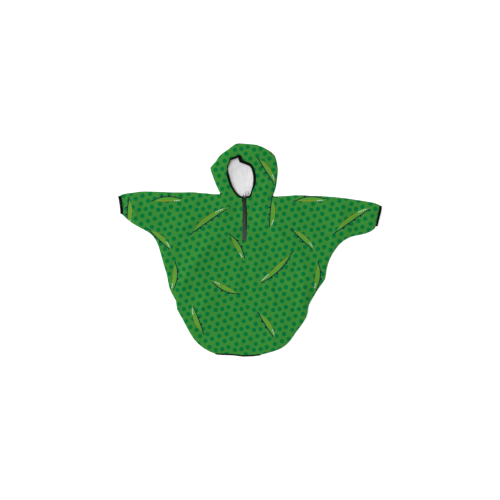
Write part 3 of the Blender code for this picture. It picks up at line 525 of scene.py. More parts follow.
hood_edges = edge_lines(hood, sort_hood_edges)
print({kind: len(found) for kind, found in hood_edges.items()})
settle_front(hood, hood_edges, HOOD_CREASES)
spots = points_of(hood)
spots[:, 1] -= NECK_CLOSE * (1 - rolled(distance_to(spots, hood_edges["neck"]), NECK_WIDTH))
inner = into_opening(spots, hood_edges["face"])[0]
inner[:, 1] *= 1 - np.exp(-(distance_to(spots, hood_edges["neck"]) / NECK_WIDTH) ** 2)
from_face = distance_to(spots, hood_edges["face"])
reach = (np.maximum(tape_shift(spots)[1], 0) + UNDER_TAPE) * np.exp(-from_face / TAPE_FADE)
spots[:, :2] += inner * reach[:, None]
spots[:, 0] += close_throat(spots)[1] * np.exp(-from_face / THROAT_SPREAD)
place_points(hood, spots)

# %% [markdown]
# ## The back, which lies on the floor
#
# The back panel has the same outline as the front, with no slit. It could be drawn from that outline again,
# but a copy of the front's sheet saves the work. One face fills the slit and is cut into triangles, because a
# bridge between two sides with unlike points crosses itself. The sheet is then pressed flat, and gets its own
# shallow creases, which lift off the floor, and an edge that rises to the seam.

# %% A back panel from a copy of the front
CLOTH = 0.4
LAYER_GAP = 0.1
BACK_SEAM = 0.85
SLIT_REACH = 9.5
FOOT_REACH = 5.0
CREASE_FADE = 16.0
SEAM_FADE = 3.0
BACK_RIPPLE = (60, 0.2, 1.1)


def press_flat(piece, edges, creases, ceiling):
    """Lays a sheet on the floor, lifted only by its creases and up to its seams, and below the ceiling."""
    spots = points_of(piece)
    seam = distance_to(spots, np.concatenate([edges["seam"], edges["neck"]]))
    rim = distance_to(spots, np.concatenate(list(edges.values())))
    lift = np.maximum(crease_heights(spots, creases) + ripple(spots, *BACK_RIPPLE), 0)
    height = CLOTH + lift * (1 - np.exp(-rim / CREASE_FADE)) + (BACK_SEAM - CLOTH) * np.exp(-seam / SEAM_FADE)
    spots[:, 2] = np.minimum(height, np.maximum(ceiling(spots), CLOTH))
    place_points(piece, spots)


def round_slit(ends):
    """True for the open edges down both sides of the zip's slit and across its foot."""
    beside = (np.abs(ends[:, :, 0] - ZIP_MIDDLE) < SLIT_REACH).all(axis=1)
    upright = np.ptp(ends, axis=1)[:, 1] > np.ptp(ends, axis=1)[:, 0]
    below_neck = ends[:, :, 1].max(axis=1) < NECK_TOP
    return beside & (ends[:, :, 1] > ZIP_FOOT - FOOT_REACH).all(axis=1) & (upright | below_neck)


def fill_hole(piece, chosen):
    """Fills a hole in an open sheet, whose open edges chosen picks out, and turns every face upwards."""
    outline, outline_ends = open_edges(piece)
    pick_edges(piece, outline[chosen(outline_ends)])
    bpy.ops.mesh.edge_face_add()
    bpy.ops.mesh.quads_convert_to_tris(ngon_method="BEAUTY")
    pick_faces(piece, lambda face: face.normal.z < 0)
    bpy.ops.mesh.flip_normals()


back = new_piece("back_panel", front.data.copy())
fill_hole(back, round_slit)
back_edges = {kind: found for kind, found in front_edges.items() if kind != "slit"}
press_flat(back, back_edges, BACK_CREASES, lambda spots: spots[:, 2] - CLOTH - LAYER_GAP)
left_open = open_edges(back)[1]
print("back panel:", len(back.data.polygons), "faces,", int(round_slit(left_open).sum()), "edges open at the slit")

# %% [markdown]
# ## The hood's back
#
# The hood's back has the outline of its front and no face opening. It is made as the back panel was: a copy,
# its opening filled by one face cut into triangles, pressed flat below the lining.

# %% The hood's back, its face opening filled
LINING_FLOOR = 1.75
hood_back = new_piece("hood_back_panel", hood.data.copy())
fill_hole(hood_back, lambda ends: sort_hood_edges(ends)["face"])
hood_back_edges = {kind: hood_edges[kind] for kind in ("seam", "neck")}
press_flat(hood_back, hood_back_edges, [], lambda spots: np.full(len(spots), LINING_FLOOR - LAYER_GAP))
print("hood back:", len(hood_back.data.polygons), "faces")

# %% [markdown]
# ## The lining inside the hood
#
# A thin pale lining hangs loose inside the hood and shows through the face opening. It gets fine shallow
# creases of its own that run down to the throat, where it is caught in with the zip.

# %% Crease the lining
LINING_RIPPLE = (21, 0.10, 0.2)
LINING_FADE = 10.0
LINING_LIFT = 0.5
spots = points_of(lining)
rim = distance_to(spots, open_edges(lining)[1])
folds = crease_heights(spots, LINING_CREASES) + ripple(spots, *LINING_RIPPLE)
spots[:, 2] = np.maximum(spots[:, 2] + folds * (1 - np.exp(-rim / LINING_FADE)), LINING_FLOOR + LINING_LIFT)
place_points(lining, spots)
print("lining top:", np.round([spots[:, 2].min(), spots[:, 2].max()], 2), "mm")

# %% [markdown]
# ## Making materials
#
# Every finish here is a Principled shader with a few nodes before it. Colours are written as the sRGB values
# that a paint program shows, and one function turns them to the linear values that a renderer works in.


# %% Nodes and colours
def linear(colour):
    """A hex colour as linear red, green, blue and alpha."""
    srgb = [int(colour[i:i + 2], 16) / 255 for i in (1, 3, 5)]
    return (*[c / 12.92 if c <= 0.04045 else ((c + 0.055) / 1.055) ** 2.4 for c in srgb], 1.0)


def add(tree, kind, inputs=None, **settings):
    """Adds a node, gives it its settings, and sets or links its inputs."""
    node = tree.nodes.new("ShaderNode" + kind)
    for name, value in settings.items():
        setattr(node, name, value)
    for socket, value in (inputs or {}).items():
        if isinstance(value, bpy.types.NodeSocket):
            tree.links.new(value, node.inputs[socket])
        else:
            node.inputs[socket].default_value = value
    return node


FACTOR, FIRST, SECOND, RESULT = 0, 6, 7, 2  # the sockets of a Mix node set to colours


def mix(tree, factor, first, second):
    """The first colour, changed to the second as the factor goes from 0 to 1."""
    inputs = {FACTOR: factor, FIRST: first, SECOND: second}
    return add(tree, "Mix", inputs, data_type="RGBA").outputs[RESULT]


def number(tree, operation, *values):
    """The result of a Math node."""
    return add(tree, "Math", dict(enumerate(values)), operation=operation).outputs[0]


def product(tree, *values):
    """All of these values multiplied together."""
    total = values[0]
    for value in values[1:]:
        total = number(tree, "MULTIPLY", total, value)
    return total


def wave(tree, value, factor):
    """The sine of a value times a factor."""
    return number(tree, "SINE", product(tree, value, factor))


def fade(tree, value, low, high):
    """0 up to the low value, 1 from the high one, and a straight line between them."""
    return add(tree, "MapRange", {"Value": value, "From Min": low, "From Max": high}).outputs[0]


def new_material(name, **sockets):
    """An empty Principled material with these values on its shader's own sockets."""
    material = bpy.data.materials.new(name)
    material.use_nodes = True
    shader = material.node_tree.nodes["Principled BSDF"]
    for socket, value in sockets.items():
        shader.inputs[socket.replace("_", " ")].default_value = value
    return material, material.node_tree, shader


def bump(tree, shader, height, distance, strength=1.0):
    """Raises the surface by this height, up to this distance in millimetres, over any bump before it."""
    inputs = {"Height": height, "Distance": distance * MM, "Strength": strength}
    node = add(tree, "Bump", inputs)
    before = shader.inputs["Normal"].links
    if before:
        tree.links.new(before[0].from_socket, node.inputs["Normal"])
    tree.links.new(node.outputs[0], shader.inputs["Normal"])


def noise(tree, place, size, detail=2.0, distortion=0.0):
    """Cloudy noise whose lumps are about this many millimetres across."""
    inputs = {"Vector": place, "Scale": 1 / (size * MM), "Detail": detail, "Distortion": distortion}
    return add(tree, "TexNoise", inputs).outputs["Fac"]


# %% [markdown]
# ## The print: dots
#
# The cloth is a polyester taffeta, woven white, printed, and coated on its back against rain. Its ground is a
# repeat of round spots, eight to a tile of about 60 by 62 mm. An image could hold them, but the cloth's own
# map, in metres, and a few nodes draw them sharp at any size: each spot is the distance to its centre,
# wrapped round the tile, and the smallest of the eight distances decides the colour.

# %% Spots on the ground colour
DOT_TILE = (59.704, 62.5)
DOT_WIDTH = 14.0
DOT_BLUR = 0.2
DOT_CENTRES = [
    (18.1, 19.0), (52.3, 9.5), (32.9, 3.1), (12.5, 0.4),
    (1.2, 35.2), (40.1, 28.2), (46.3, 50.3), (22.8, 44.1),
]
GROUND = "#388535"
GROUND_WORN = "#368233"
SPOT = "#007136"


def wrapped(tree, place, centre, tile):
    """The way from the nearest repeat of a centre, in metres, for a tile in millimetres."""
    away = add(tree, "VectorMath", {0: place, 1: centre}, operation="SUBTRACT").outputs[0]
    half = (tile[0] / 2 * MM, tile[1] / 2 * MM, 0)
    inputs = {0: away, 1: half, 2: [-c for c in half]}
    return add(tree, "VectorMath", inputs, operation="WRAP").outputs[0]


def spots_mask(tree, place):
    """1 inside every spot of the repeat and 0 outside."""
    nearest = None
    for x, y in DOT_CENTRES:
        way = wrapped(tree, place, (x * MM, y * MM, 0), DOT_TILE)
        distance = add(tree, "VectorMath", {0: way}, operation="LENGTH").outputs["Value"]
        nearest = distance if nearest is None else number(tree, "MINIMUM", nearest, distance)
    return fade(tree, nearest, (DOT_WIDTH / 2 + DOT_BLUR) * MM, (DOT_WIDTH / 2 - DOT_BLUR) * MM)


# %% [markdown]
# ## The print: leaf sprigs
#
# Slender leaves, a hand or half a hand long, are tossed over the spots. One leaf is drawn once, as a group of
# nodes in its own small frame: s runs along it from -0.5 to 0.5, and t across it in millimetres. Each use of
# the group gives it a place, a turn and a length. The leaves repeat on a tile of their own, far wider than
# the spots' tile, so that no rows show.

# %% One leaf as a group of nodes
LEAF_TILE = (446.0, 482.0)
BLADE_HALF = 7.6
BOW = 0.20
SOFT = 0.01
BLADE = "#549931"
VEIN = "#3B7A2A"
STEM = "#151A38"
DASH = "#C8641E"
DROP = "#E4E6DC"


def between(tree, value, low, high, soft):
    """1 between two limits and 0 outside them, with soft edges."""
    return product(tree, fade(tree, value, low - soft, low), fade(tree, value, high + soft, high))


def leaf_group():
    """A group that paints one leaf, repeated on the leaves' tile, over the colour that it is given."""
    group = bpy.data.node_groups.new("leaf_sprig", "ShaderNodeTree")
    for name, kind in (("Under", "Color"), ("Cloth", "Vector"), ("Place", "Vector"), ("Turn", "Float"),
                       ("Length", "Float"), ("Side", "Float")):
        group.interface.new_socket(name, in_out="INPUT", socket_type="NodeSocket" + kind)
    group.interface.new_socket("Colour", in_out="OUTPUT", socket_type="NodeSocketColor")
    given = group.nodes.new("NodeGroupInput").outputs
    way = wrapped(group, given["Cloth"], given["Place"], LEAF_TILE)
    turned = add(group, "VectorRotate", {"Vector": way, "Angle": given["Turn"]}, rotation_type="Z_AXIS").outputs[0]
    own = add(group, "VectorMath", {0: turned, "Scale": 1 / MM}, operation="SCALE").outputs[0]
    axes = add(group, "SeparateXYZ", {0: own}).outputs
    along = axes[0]
    s = number(group, "DIVIDE", along, given["Length"])
    bow = product(group, s, s, given["Length"], BOW)
    t = product(group, number(group, "ADD", axes[1], bow), given["Side"])
    arch = number(group, "COSINE", product(group, s, math.pi))
    on_blade = number(group, "LESS_THAN", number(group, "ABSOLUTE", s), 0.5)
    arch = number(group, "POWER", number(group, "MAXIMUM", arch, 0.0), 0.7)
    half = product(group, arch, number(group, "MULTIPLY_ADD", s, -3.2, BLADE_HALF), on_blade)
    inside = number(group, "SUBTRACT", half, number(group, "ABSOLUTE", t))
    blade = fade(group, inside, 0.0, 0.6)
    rim = product(group, fade(group, inside, -1.0, -0.4), on_blade)
    slant = number(group, "SUBTRACT", product(group, t, 0.9), along)
    vein = fade(group, wave(group, slant, 0.9), 0.75, 1.1)
    vein = product(group, vein, fade(group, inside, 1.2, 2.4), 0.7)
    low = number(group, "ABSOLUTE", number(group, "MULTIPLY_ADD", half, 0.82, t))
    stem = product(group, fade(group, low, 1.9, 1.2), between(group, s, -0.60, 0.43, SOFT))
    step = number(group, "WRAP", along, 11.0, -11.0)
    below = number(group, "ADD", number(group, "ADD", t, half), 1.8)
    spread = number(group, "ADD", product(group, below, below), product(group, step, step))
    berry = product(group, fade(group, spread, 9.5, 6.0), between(group, s, -0.34, 0.22, SOFT))
    high = number(group, "ABSOLUTE", number(group, "MULTIPLY_ADD", half, -0.92, t))
    beat = wave(group, along, 1.15)
    dash = product(group, fade(group, high, 1.1, 0.6), fade(group, beat, -0.3, 0.0),
                   between(group, s, -0.36, 0.12, SOFT))
    drop = product(group, fade(group, high, 1.6, 1.0), fade(group, beat, -0.1, 0.2),
                   between(group, s, 0.17, 0.36, SOFT))
    colour = given["Under"]
    for mask, paint in ((rim, VEIN), (blade, BLADE), (vein, VEIN), (stem, STEM), (berry, STEM), (dash, DASH),
                        (drop, DROP)):
        colour = mix(group, mask, colour, linear(paint))
    group.links.new(colour, group.nodes.new("NodeGroupOutput").inputs[0])
    return group


LEAF_GROUP = leaf_group()
Leaf = namedtuple("Leaf", "x y turn length side")
LEAVES = [Leaf(*row) for row in (
    (322, 101, 34, 136, 1), (57, 246, -58, 92, 1), (212, 393, -98, 90, -1), (278, 268, 110, 94, 1),
    (363, 363, 153, 92, -1), (79, 416, -138, 138, -1), (171, 32, -44, 92, 1), (412, 7, -62, 90, -1),
    (69, 110, -95, 92, 1), (193, 160, 1, 94, -1),
)]
print("one leaf takes", len(LEAF_GROUP.nodes), "nodes, used", len(LEAVES), "times a tile")

# %% [markdown]
# ## Coated taffeta
#
# The print sits on a taffeta of threads a fifth of a millimetre apart. That is too fine to show, so the weave
# is drawn at 1.2 mm. The coating stiffens the cloth, so light catches small crumples 10 to 50 mm across, and
# gives it a soft sheen rather than a gloss. Its inner side shows the coating, pale, with the print a ghost.

# %% The two sides of the rain cloth
WEAVE = 1.2
INNER_COAT = "#8FA98C"
COAT_HIDES = 0.82


def ribs(tree, place, pitch):
    """Two rows of ribs of this pitch in millimetres: one wave across x, and one across y."""
    axes = add(tree, "SeparateXYZ", {0: place}).outputs
    return [wave(tree, axes[i], 2 * math.pi / (pitch * MM)) for i in (0, 1)]


def cloth_relief(tree, shader, place, crumple, weave):
    """Weave, small crumples and soft unevenness of sheen for a cloth, from its own map."""
    bump(tree, shader, product(tree, *ribs(tree, place, WEAVE)), weave)
    bump(tree, shader, noise(tree, place, 11, 3.0, 0.6), crumple * 0.3)
    bump(tree, shader, noise(tree, place, 42, 2.0, 0.8), crumple)
    sheen = fade(tree, noise(tree, place, 30, 3.0), 0.3, 0.7)
    tree.links.new(number(tree, "MULTIPLY_ADD", sheen, 0.10, 0.50), shader.inputs["Roughness"])


def cloth_map(tree):
    """The piece's own map: places on the flat cloth, in metres."""
    return add(tree, "UVMap", uv_map="cloth").outputs[0]


def printed_colour(tree, place):
    """The print: ground, spots and leaves, with the slight unevenness of ink."""
    ink = fade(tree, noise(tree, place, 26, 4.0), 0.25, 0.75)
    ground = mix(tree, ink, linear(GROUND), linear(GROUND_WORN))
    colour = mix(tree, spots_mask(tree, place), ground, linear(SPOT))
    for leaf in LEAVES:
        node = add(tree, "Group", node_tree=LEAF_GROUP)
        values = {"Place": (leaf.x * MM, leaf.y * MM, 0), "Turn": -math.radians(leaf.turn)}
        values.update({"Length": leaf.length, "Side": leaf.side})
        for socket, value in values.items():
            node.inputs[socket].default_value = value
        tree.links.new(place, node.inputs["Cloth"])
        tree.links.new(colour, node.inputs["Under"])
        colour = node.outputs[0]
    return colour


def rain_cloth(name, inner):
    """The rain cloth's printed face, or its coated inner side."""
    material, tree, shader = new_material(name, Specular_IOR_Level=0.02)
    place = cloth_map(tree)
    colour = printed_colour(tree, place)
    if inner:
        colour = mix(tree, COAT_HIDES, colour, linear(INNER_COAT))
    tree.links.new(colour, shader.inputs["Base Color"])
    cloth_relief(tree, shader, place, 0.5, 0.05)
    return material


PRINTED = rain_cloth("printed_coated_polyester_taffeta", False)
INNER = rain_cloth("polyurethane_coated_inner_side", True)
print("printed cloth:", len(PRINTED.node_tree.nodes), "nodes")

# %% [markdown]
# ## Lining, binding, zip and thread
#
# The lining is a plain polyester lining, pale and a little crumpled, with painted shade that darkens it towards
# the crown on the upper left. The binding is black woven tape, folded over the raw edges, with ribs across it.
# The zip's tapes are charcoal and woven, and its coil is nylon; both are paler towards the zip's foot. The slider
# is cast zinc with dark lacquer, and the pull is nickel-plated zinc, with painted dark reflection on the rim and
# sides of its tab. The thread is polyester, green on the panels and black on the bindings and tacks.

# %% The other finishes
# Painted shade on the lining: along this way, towards the crown on the upper left, its colour darkens to the shade
# colour below.
SHADE_WAY = (-0.8, 0.6, 0.0)
SHADE_FROM = 150.0
SHADE_TO = 212.0
LINING_PALE = "#DEDEDE"
LINING_CLOUD = "#D8D8D8"
LINING_PAINTED_SHADE = "#C6C6C6"


def lining_cloth():
    """The lining: pale, faintly clouded, and darker towards the crown with painted shade."""
    material, tree, shader = new_material("polyester_lining_taffeta", Specular_IOR_Level=0.25, Sheen_Weight=0.1)
    place = cloth_map(tree)
    cloud = fade(tree, noise(tree, place, 18, 4.0, 0.5), 0.3, 0.7)
    clean = mix(tree, cloud, linear(LINING_PALE), linear(LINING_CLOUD))
    # Painted shade: the colour darkens towards the upper left, where the hood above would shade the lining.
    towards_shade = add(tree, "VectorMath", {0: place, 1: SHADE_WAY}, operation="DOT_PRODUCT").outputs["Value"]
    painted_dark = fade(tree, towards_shade, SHADE_FROM * MM, SHADE_TO * MM)
    tree.links.new(mix(tree, painted_dark, clean, linear(LINING_PAINTED_SHADE)), shader.inputs["Base Color"])
    cloth_relief(tree, shader, place, 0.5, 0.04)
    return material


def worn_colour(tree, shader, place, patch, colour, worn, foot):
    """A base colour worn in patches and, where a foot colour is given, paler towards the zip's foot."""
    tone = mix(tree, patch, linear(colour), linear(worn))
    if foot:
        height = add(tree, "SeparateXYZ", {0: place}).outputs[1]
        tone = mix(tree, fade(tree, height, NECK_TOP * MM, ZIP_FOOT * MM), tone, linear(foot))
    tree.links.new(tone, shader.inputs["Base Color"])


def woven_band(name, colour, worn, rib, specular, foot=None):
    """A narrow woven band: dark yarn with paler flecks where it is rubbed, and ribs of this pitch."""
    material, tree, shader = new_material(name, Specular_IOR_Level=specular, Roughness=0.8)
    place = add(tree, "TexCoord").outputs["Object"]
    rubbed = fade(tree, noise(tree, place, 2.4, 5.0), 0.5, 0.85)
    worn_colour(tree, shader, place, rubbed, colour, worn, foot)
    bump(tree, shader, number(tree, "MAXIMUM", *ribs(tree, place, rib)), 0.06)
    bump(tree, shader, noise(tree, place, 0.8, 2.0), 0.08)
    return material


def plain_finish(name, colour, worn, roughness, metallic, grain, specular=0.5, foot=None):
    """A moulded or cast finish: one colour, worn in patches, with a fine grain."""
    sockets = {"Roughness": roughness, "Metallic": metallic, "Specular_IOR_Level": specular}
    material, tree, shader = new_material(name, **sockets)
    place = add(tree, "TexCoord").outputs["Object"]
    patch = fade(tree, noise(tree, place, 3.5, 4.0), 0.5, 0.72)
    worn_colour(tree, shader, place, patch, colour, worn, foot)
    bump(tree, shader, noise(tree, place, grain, 2.0), 0.03)
    return material


LINING_CLOTH = lining_cloth()
BINDING = woven_band("black_woven_polyester_binding", "#050506", "#0D0D0F", 1.1, 0.06)
TAPE = woven_band("charcoal_woven_zip_tape", "#2A2A2B", "#323132", 0.9, 0.2, "#555355")
COIL = plain_finish("charcoal_nylon_coil", "#2A2A2B", "#343434", 0.45, 0.0, 0.5, 0.35, "#4C4A4C")
LACQUER = plain_finish("dark_lacquered_cast_zinc", "#3C3B3D", "#6A696C", 0.38, 0.6, 0.4)
PLATED = plain_finish("nickel_plated_zinc", "#F0F0F1", "#DADBDC", 0.25, 1.0, 0.4)
# Painted dark reflection: the tab's rim and sides take this darker plating, as a metal edge shows dark
# reflections.
TAB_PAINTED_DARK = plain_finish("painted_dark_nickel_plated_zinc", "#A2A3A6", "#8E8F92", 0.4, 1.0, 0.4)
GREEN_THREAD = plain_finish("green_polyester_sewing_thread", "#3D8A36", "#4C9A44", 0.6, 0.0, 0.3, 0.3)
BLACK_THREAD = plain_finish("black_polyester_sewing_thread", "#101012", "#1D1D20", 0.6, 0.0, 0.3, 0.3)

# %% [markdown]
# ## From sheet to cloth
#
# Each sheet gets its map first, so that the print runs over its folds. A wall could be built by hand, but
# Solidify gives a sheet its thickness on one side, and it gives that side a material of its own.


# %% Map, finish and thickness
LINING = 0.35
CLOTH_SMOOTH = 60


def lay_print(piece):
    """Gives the piece a map of places on the flat cloth, in metres."""
    corners = np.empty(len(piece.data.loops), int)
    piece.data.loops.foreach_get("vertex_index", corners)
    places = points_of(piece)[:, :2] * MM
    piece.data.uv_layers.new(name="cloth").data.foreach_set("uv", places[corners].ravel())
    piece.data.uv_layers.active = piece.data.uv_layers["cloth"]


def make_cloth(piece, upper, lower, thickness):
    """Turns an open sheet into cloth whose upper side stays where it is. Its rim takes the outer finish."""
    lay_print(piece)
    piece.data.materials.append(upper)
    piece.data.materials.append(lower)
    rim = 0 if lower is INNER or upper is lower else 1
    settings = {"thickness": thickness * MM, "offset": -1.0, "material_offset": 1, "material_offset_rim": rim}
    finish_modifier(piece, "SOLIDIFY", use_quality_normals=True, **settings)
    shade_smooth(piece, CLOTH_SMOOTH)


for piece, upper, lower, thickness in (
    (front, PRINTED, INNER, CLOTH), (hood, PRINTED, INNER, CLOTH), (back, INNER, PRINTED, CLOTH),
    (hood_back, INNER, PRINTED, CLOTH), (lining, LINING_CLOTH, LINING_CLOTH, LINING),
):
    make_cloth(piece, upper, lower, thickness)
    lowest, highest = points_of(piece)[:, 2].min(), points_of(piece)[:, 2].max()
    print(piece.name, "from", round(lowest, 2), "to", round(highest, 2), "mm above the floor")

# %% [markdown]
# ## Bindings
#
# The face opening, the cuffs and the middle of the hem are edged with black tape. The solids already have its
# path and its rolled section. Copies of them, joined and subdivided, turn their flat faces into a soft roll,
# and small puckers follow, because a tape that goes round a curve is never quite even. Each is also carried
# over the cloth that it holds: a cuff's tape by a move to the right at its top, its middle and its low end,
# which is negative on the right cuff, and the hem's by one move all along.


# %% Soft copies of the solid bindings
Lap = namedtuple("Lap", "top middle low sink")
CUFF_LAP_LEFT = Lap(0.6, 5.4, -0.4, 0.15)
CUFF_LAP_RIGHT = Lap(-0.2, -0.9, -0.2, 0.6)
CUFF_STATIONS = (0, 0.55, 1)
CUFF_OUTER_SINK = 1.6
CUFF_HEIGHT = 4.0
HEM_LAP = 1.3
ON_EDGE = 1.0
THROAT_RIM = 169.0
THROAT_DEPTH = 6
THROAT_DROP = 0.5
FOLD_ANGLE = math.radians(25)
FOLD_ROUND = 0.45
TAPE_SMOOTH = 50
PUCKER_PITCH = 7.0
PUCKER_HEIGHT = 0.16


def solid_copy(node, name, material):
    """A copy of a whole solid with its triangles joined up."""
    piece = welded(node, name)
    piece.data.materials.append(material)
    bpy.ops.mesh.tris_convert_to_quads(**QUADS)
    return piece


def soften(piece, rounding):
    """Rounds the edges of a folded tape without making it narrower, and shades it smooth."""
    settings = {"segments": 2, "limit_method": "ANGLE", "angle_limit": FOLD_ANGLE}
    finish_modifier(piece, "BEVEL", width=rounding * MM, **settings)
    finish_modifier(piece, "SUBSURF", levels=1, render_levels=1)
    shade_smooth(piece, TAPE_SMOOTH)


def pucker(piece, pitch, height):
    """Lifts and drops a tape a little along its run. The bare factors only keep it uneven."""
    spots = points_of(piece)
    run = spots[:, 0] * 0.8 + spots[:, 1]
    beat = np.sin(run * 2 * math.pi / pitch) + 0.6 * np.sin(run * 2 * math.pi / (pitch * 2.7) + spots[:, 0] / 9)
    bottom = spots[:, 2].min()
    spots[:, 2] = np.maximum(spots[:, 2] + height * beat * np.clip((spots[:, 2] - bottom) / 2, 0, 1), bottom)
    place_points(piece, spots)


def lap_over(piece, lap):
    """Carries a cuff's binding over the cloth that it holds, and lowers it outwards to a flat fold."""
    spots = points_of(piece)
    edge = front_edges["cuff"][(front_edges["cuff"][:, 0, 0] < 0) == (lap.middle > 0)]
    inner = distance_to(spots, edge) < ON_EDGE
    down = (edge[:, :, 1].max() - spots[inner, 1]) / np.ptp(edge[:, :, 1])
    spots[inner, 0] += np.interp(down, CUFF_STATIONS, lap[:3])
    high = np.clip(spots[:, 2] / CUFF_HEIGHT, 0, 1)
    spots[:, 2] -= high * np.where(inner, lap.sink, CUFF_OUTER_SINK)
    place_points(piece, spots)


def lap_hem(piece):
    """Carries the inner edge of the hem's binding over the rolled edge of the cloth."""
    spots = points_of(piece)
    spots[distance_to(spots, front_edges["hem"]) < ON_EDGE, 1] += HEM_LAP
    place_points(piece, spots)


def shape_tape(piece, seam):
    """Widens or thins the face tape round the opening, and lowers it over the neck seam at the throat."""
    spots = points_of(piece)
    inner, across = into_opening(spots, seam)
    at_rim, at_seam = tape_shift(spots)
    spots[:, :2] += inner * (at_seam + (at_rim - at_seam) * np.clip(across / TAPE_WIDTH, 0, 1))[:, None]
    throat, drawn_in = close_throat(spots)
    spots[:, 1] -= throat * THROAT_DROP * np.clip(THROAT_RIM - spots[:, 1], 0, THROAT_DEPTH)
    spots[:, 0] += drawn_in
    place_points(piece, spots)


face_binding = solid_copy("face_binding", "face_opening_binding", BINDING)
shape_tape(face_binding, hood_edges["face"])
cuff_left = solid_copy("cuff_binding_left", "left_cuff_binding", BINDING)
cuff_right = solid_copy("cuff_binding_right", "right_cuff_binding", BINDING)
hem_front = solid_copy("hem_binding_front", "front_hem_binding", BINDING)
hem_back = solid_copy("hem_binding_back", "back_hem_binding", BINDING)
for piece, lap in ((cuff_left, CUFF_LAP_LEFT), (cuff_right, CUFF_LAP_RIGHT)):
    lap_over(piece, lap)
lap_hem(hem_front)
for piece in (face_binding, cuff_left, cuff_right, hem_front, hem_back):
    soften(piece, FOLD_ROUND)
for piece in (face_binding, cuff_left, cuff_right):
    pucker(piece, PUCKER_PITCH, PUCKER_HEIGHT)
print("face binding:", len(face_binding.data.polygons), "faces")

# %% [markdown]
# ## The hem's thin tapes
#
# The front's hem tape is a little thicker than its solid and lies on creased cloth, and the back's is flatter.
# So each section is stretched or pressed from its own underside, then moved as the cloth beside it was moved.

# %% Hem bindings that keep to their cloth
HEM_SQUASH_FRONT = 1.45
HEM_SQUASH_BACK = 0.7
BESIDE = 3


def keep_to_cloth(piece, cloth_spots, change, squash):
    """Thins or thickens a binding to suit its cloth, and moves it up or down as the cloth beside it has moved."""
    spots = points_of(piece)
    bottoms = np.array([spots[abs(spots[:, 0] - x) < BESIDE, 2].min() for x in spots[:, 0]])
    for spot, bottom in zip(spots, bottoms):
        near = np.hypot(*(cloth_spots[:, :2] - spot[:2]).T).argmin()
        spot[2] = bottom + (spot[2] - bottom) * squash + change[near]
    place_points(piece, spots)


keep_to_cloth(hem_front, front_skin, front_change, HEM_SQUASH_FRONT)
keep_to_cloth(hem_back, front_skin, np.zeros(len(front_skin)), HEM_SQUASH_BACK)

# %% [markdown]
# ## The zip
#
# Two woven tapes lie under the edges of the slit. Between them the closed coil is two rows of nylon loops
# that grip each other, one every 1.4 mm. One loop is modelled, extruded from a small disc, and copied down
# both sides, half a step apart.


# %% Small parts that repeat
Section = namedtuple("Section", "x z width thickness")


def extruded(name, sides, sections):
    """A closed bar along x: a disc that is extruded from section to section, each a row of Section's columns."""
    let_go()
    bpy.ops.mesh.primitive_circle_add(
        vertices=sides, radius=MM / 2, fill_type="NGON", rotation=(0, math.pi / 2, 0))
    piece = bpy.context.object
    piece.name = name
    bpy.ops.object.transform_apply(location=True, rotation=True, scale=True)
    pick_all(piece)
    now = Section(0, 0, 1, 1)
    for step, row in enumerate(sections):
        after = Section(*row)
        if step:
            bpy.ops.mesh.extrude_region_move()
        bpy.ops.transform.translate(value=((after.x - now.x) * MM, 0, (after.z - now.z) * MM))
        stretch = (1, after.width / now.width, after.thickness / now.thickness)
        bpy.ops.transform.resize(value=stretch, center_override=(after.x * MM, 0, after.z * MM))
        now = after
    pick_all(piece)
    bpy.ops.mesh.normals_make_consistent(inside=False)
    bpy.ops.object.mode_set(mode="OBJECT")
    return piece


def repeated(model, name, places, material):
    """One mesh with a copy of the model at each place: x, y and z in mm, its turn and its rise in radians."""
    shape = points_of(model)
    corners = [list(face.vertices) for face in model.data.polygons]
    points, faces = [], []
    for x, y, z, turn, rise in places:
        level = shape[:, 0] * math.cos(rise) - shape[:, 2] * math.sin(rise)
        height = shape[:, 0] * math.sin(rise) + shape[:, 2] * math.cos(rise)
        east = level * math.cos(turn) - shape[:, 1] * math.sin(turn)
        north = level * math.sin(turn) + shape[:, 1] * math.cos(turn)
        faces += [[i + len(points) * len(shape) for i in face] for face in corners]
        points.append(np.column_stack([east + x, north + y, height + z]))
    mesh = bpy.data.meshes.new(name)
    mesh.from_pydata((np.vstack(points) * MM).tolist(), [], faces)
    mesh.materials.append(material)
    piece = new_piece(name, mesh)
    shade_smooth(piece, CLOTH_SMOOTH)
    return piece


# %% [markdown]
# ## Zip tapes, core and teeth
#
# A tape's top end is drawn back to where the neck seam hides it. Beside the cloth the right tape has a painted
# shadow, black, for the shade under the slit's right edge: a plane cuts the tape along it, and the outer part
# takes the binding's black. Of the coil's solid the top is sunk, so that it stays as a core below the loops that
# are modelled.

# %% The two tapes and the painted shadow on the right one
# Where the painted shadow on the right tape begins, and the way across it.
PAINTED_SHADOW = Vector((-12.5, 110.0, 0.0))
PAINTED_SHADOW_WAY = Vector((1.0, 0.02, 0.0))
TAPE_TOP = 167.6
TAPE_ROUND = 0.2


def finish_picked(piece, material):
    """Gives the faces that are picked a finish of their own."""
    piece.data.materials.append(material)
    piece.active_material_index = len(piece.data.materials) - 1
    bpy.ops.object.material_slot_assign()


tape_left = solid_copy("zip_tape_left", "left_zip_tape", TAPE)
tape_right = solid_copy("zip_tape_right", "right_zip_tape", TAPE)
for piece in (tape_left, tape_right):
    spots = points_of(piece)
    top = spots[:, 1].max()
    spots[:, 1] -= (top - TAPE_TOP) * np.clip((spots[:, 1] - NECK_TOP) / (top - NECK_TOP), 0, 1)
    place_points(piece, spots)
    print(piece.name, "ended at", round(top, 1), "mm, drawn back to", TAPE_TOP)
# Painted shadow: the right tape's outer strip takes the binding's black, for the shade under the slit's right
# edge.
pick_all(tape_right)
bpy.ops.mesh.bisect(plane_co=PAINTED_SHADOW * MM, plane_no=PAINTED_SHADOW_WAY)
pick_faces(tape_right, lambda face: (face.center - PAINTED_SHADOW * MM).dot(PAINTED_SHADOW_WAY) > 0)
finish_picked(tape_right, BINDING)
for piece in (tape_left, tape_right):
    finish_modifier(piece, "BEVEL", width=TAPE_ROUND * MM, segments=2, limit_method="ANGLE")

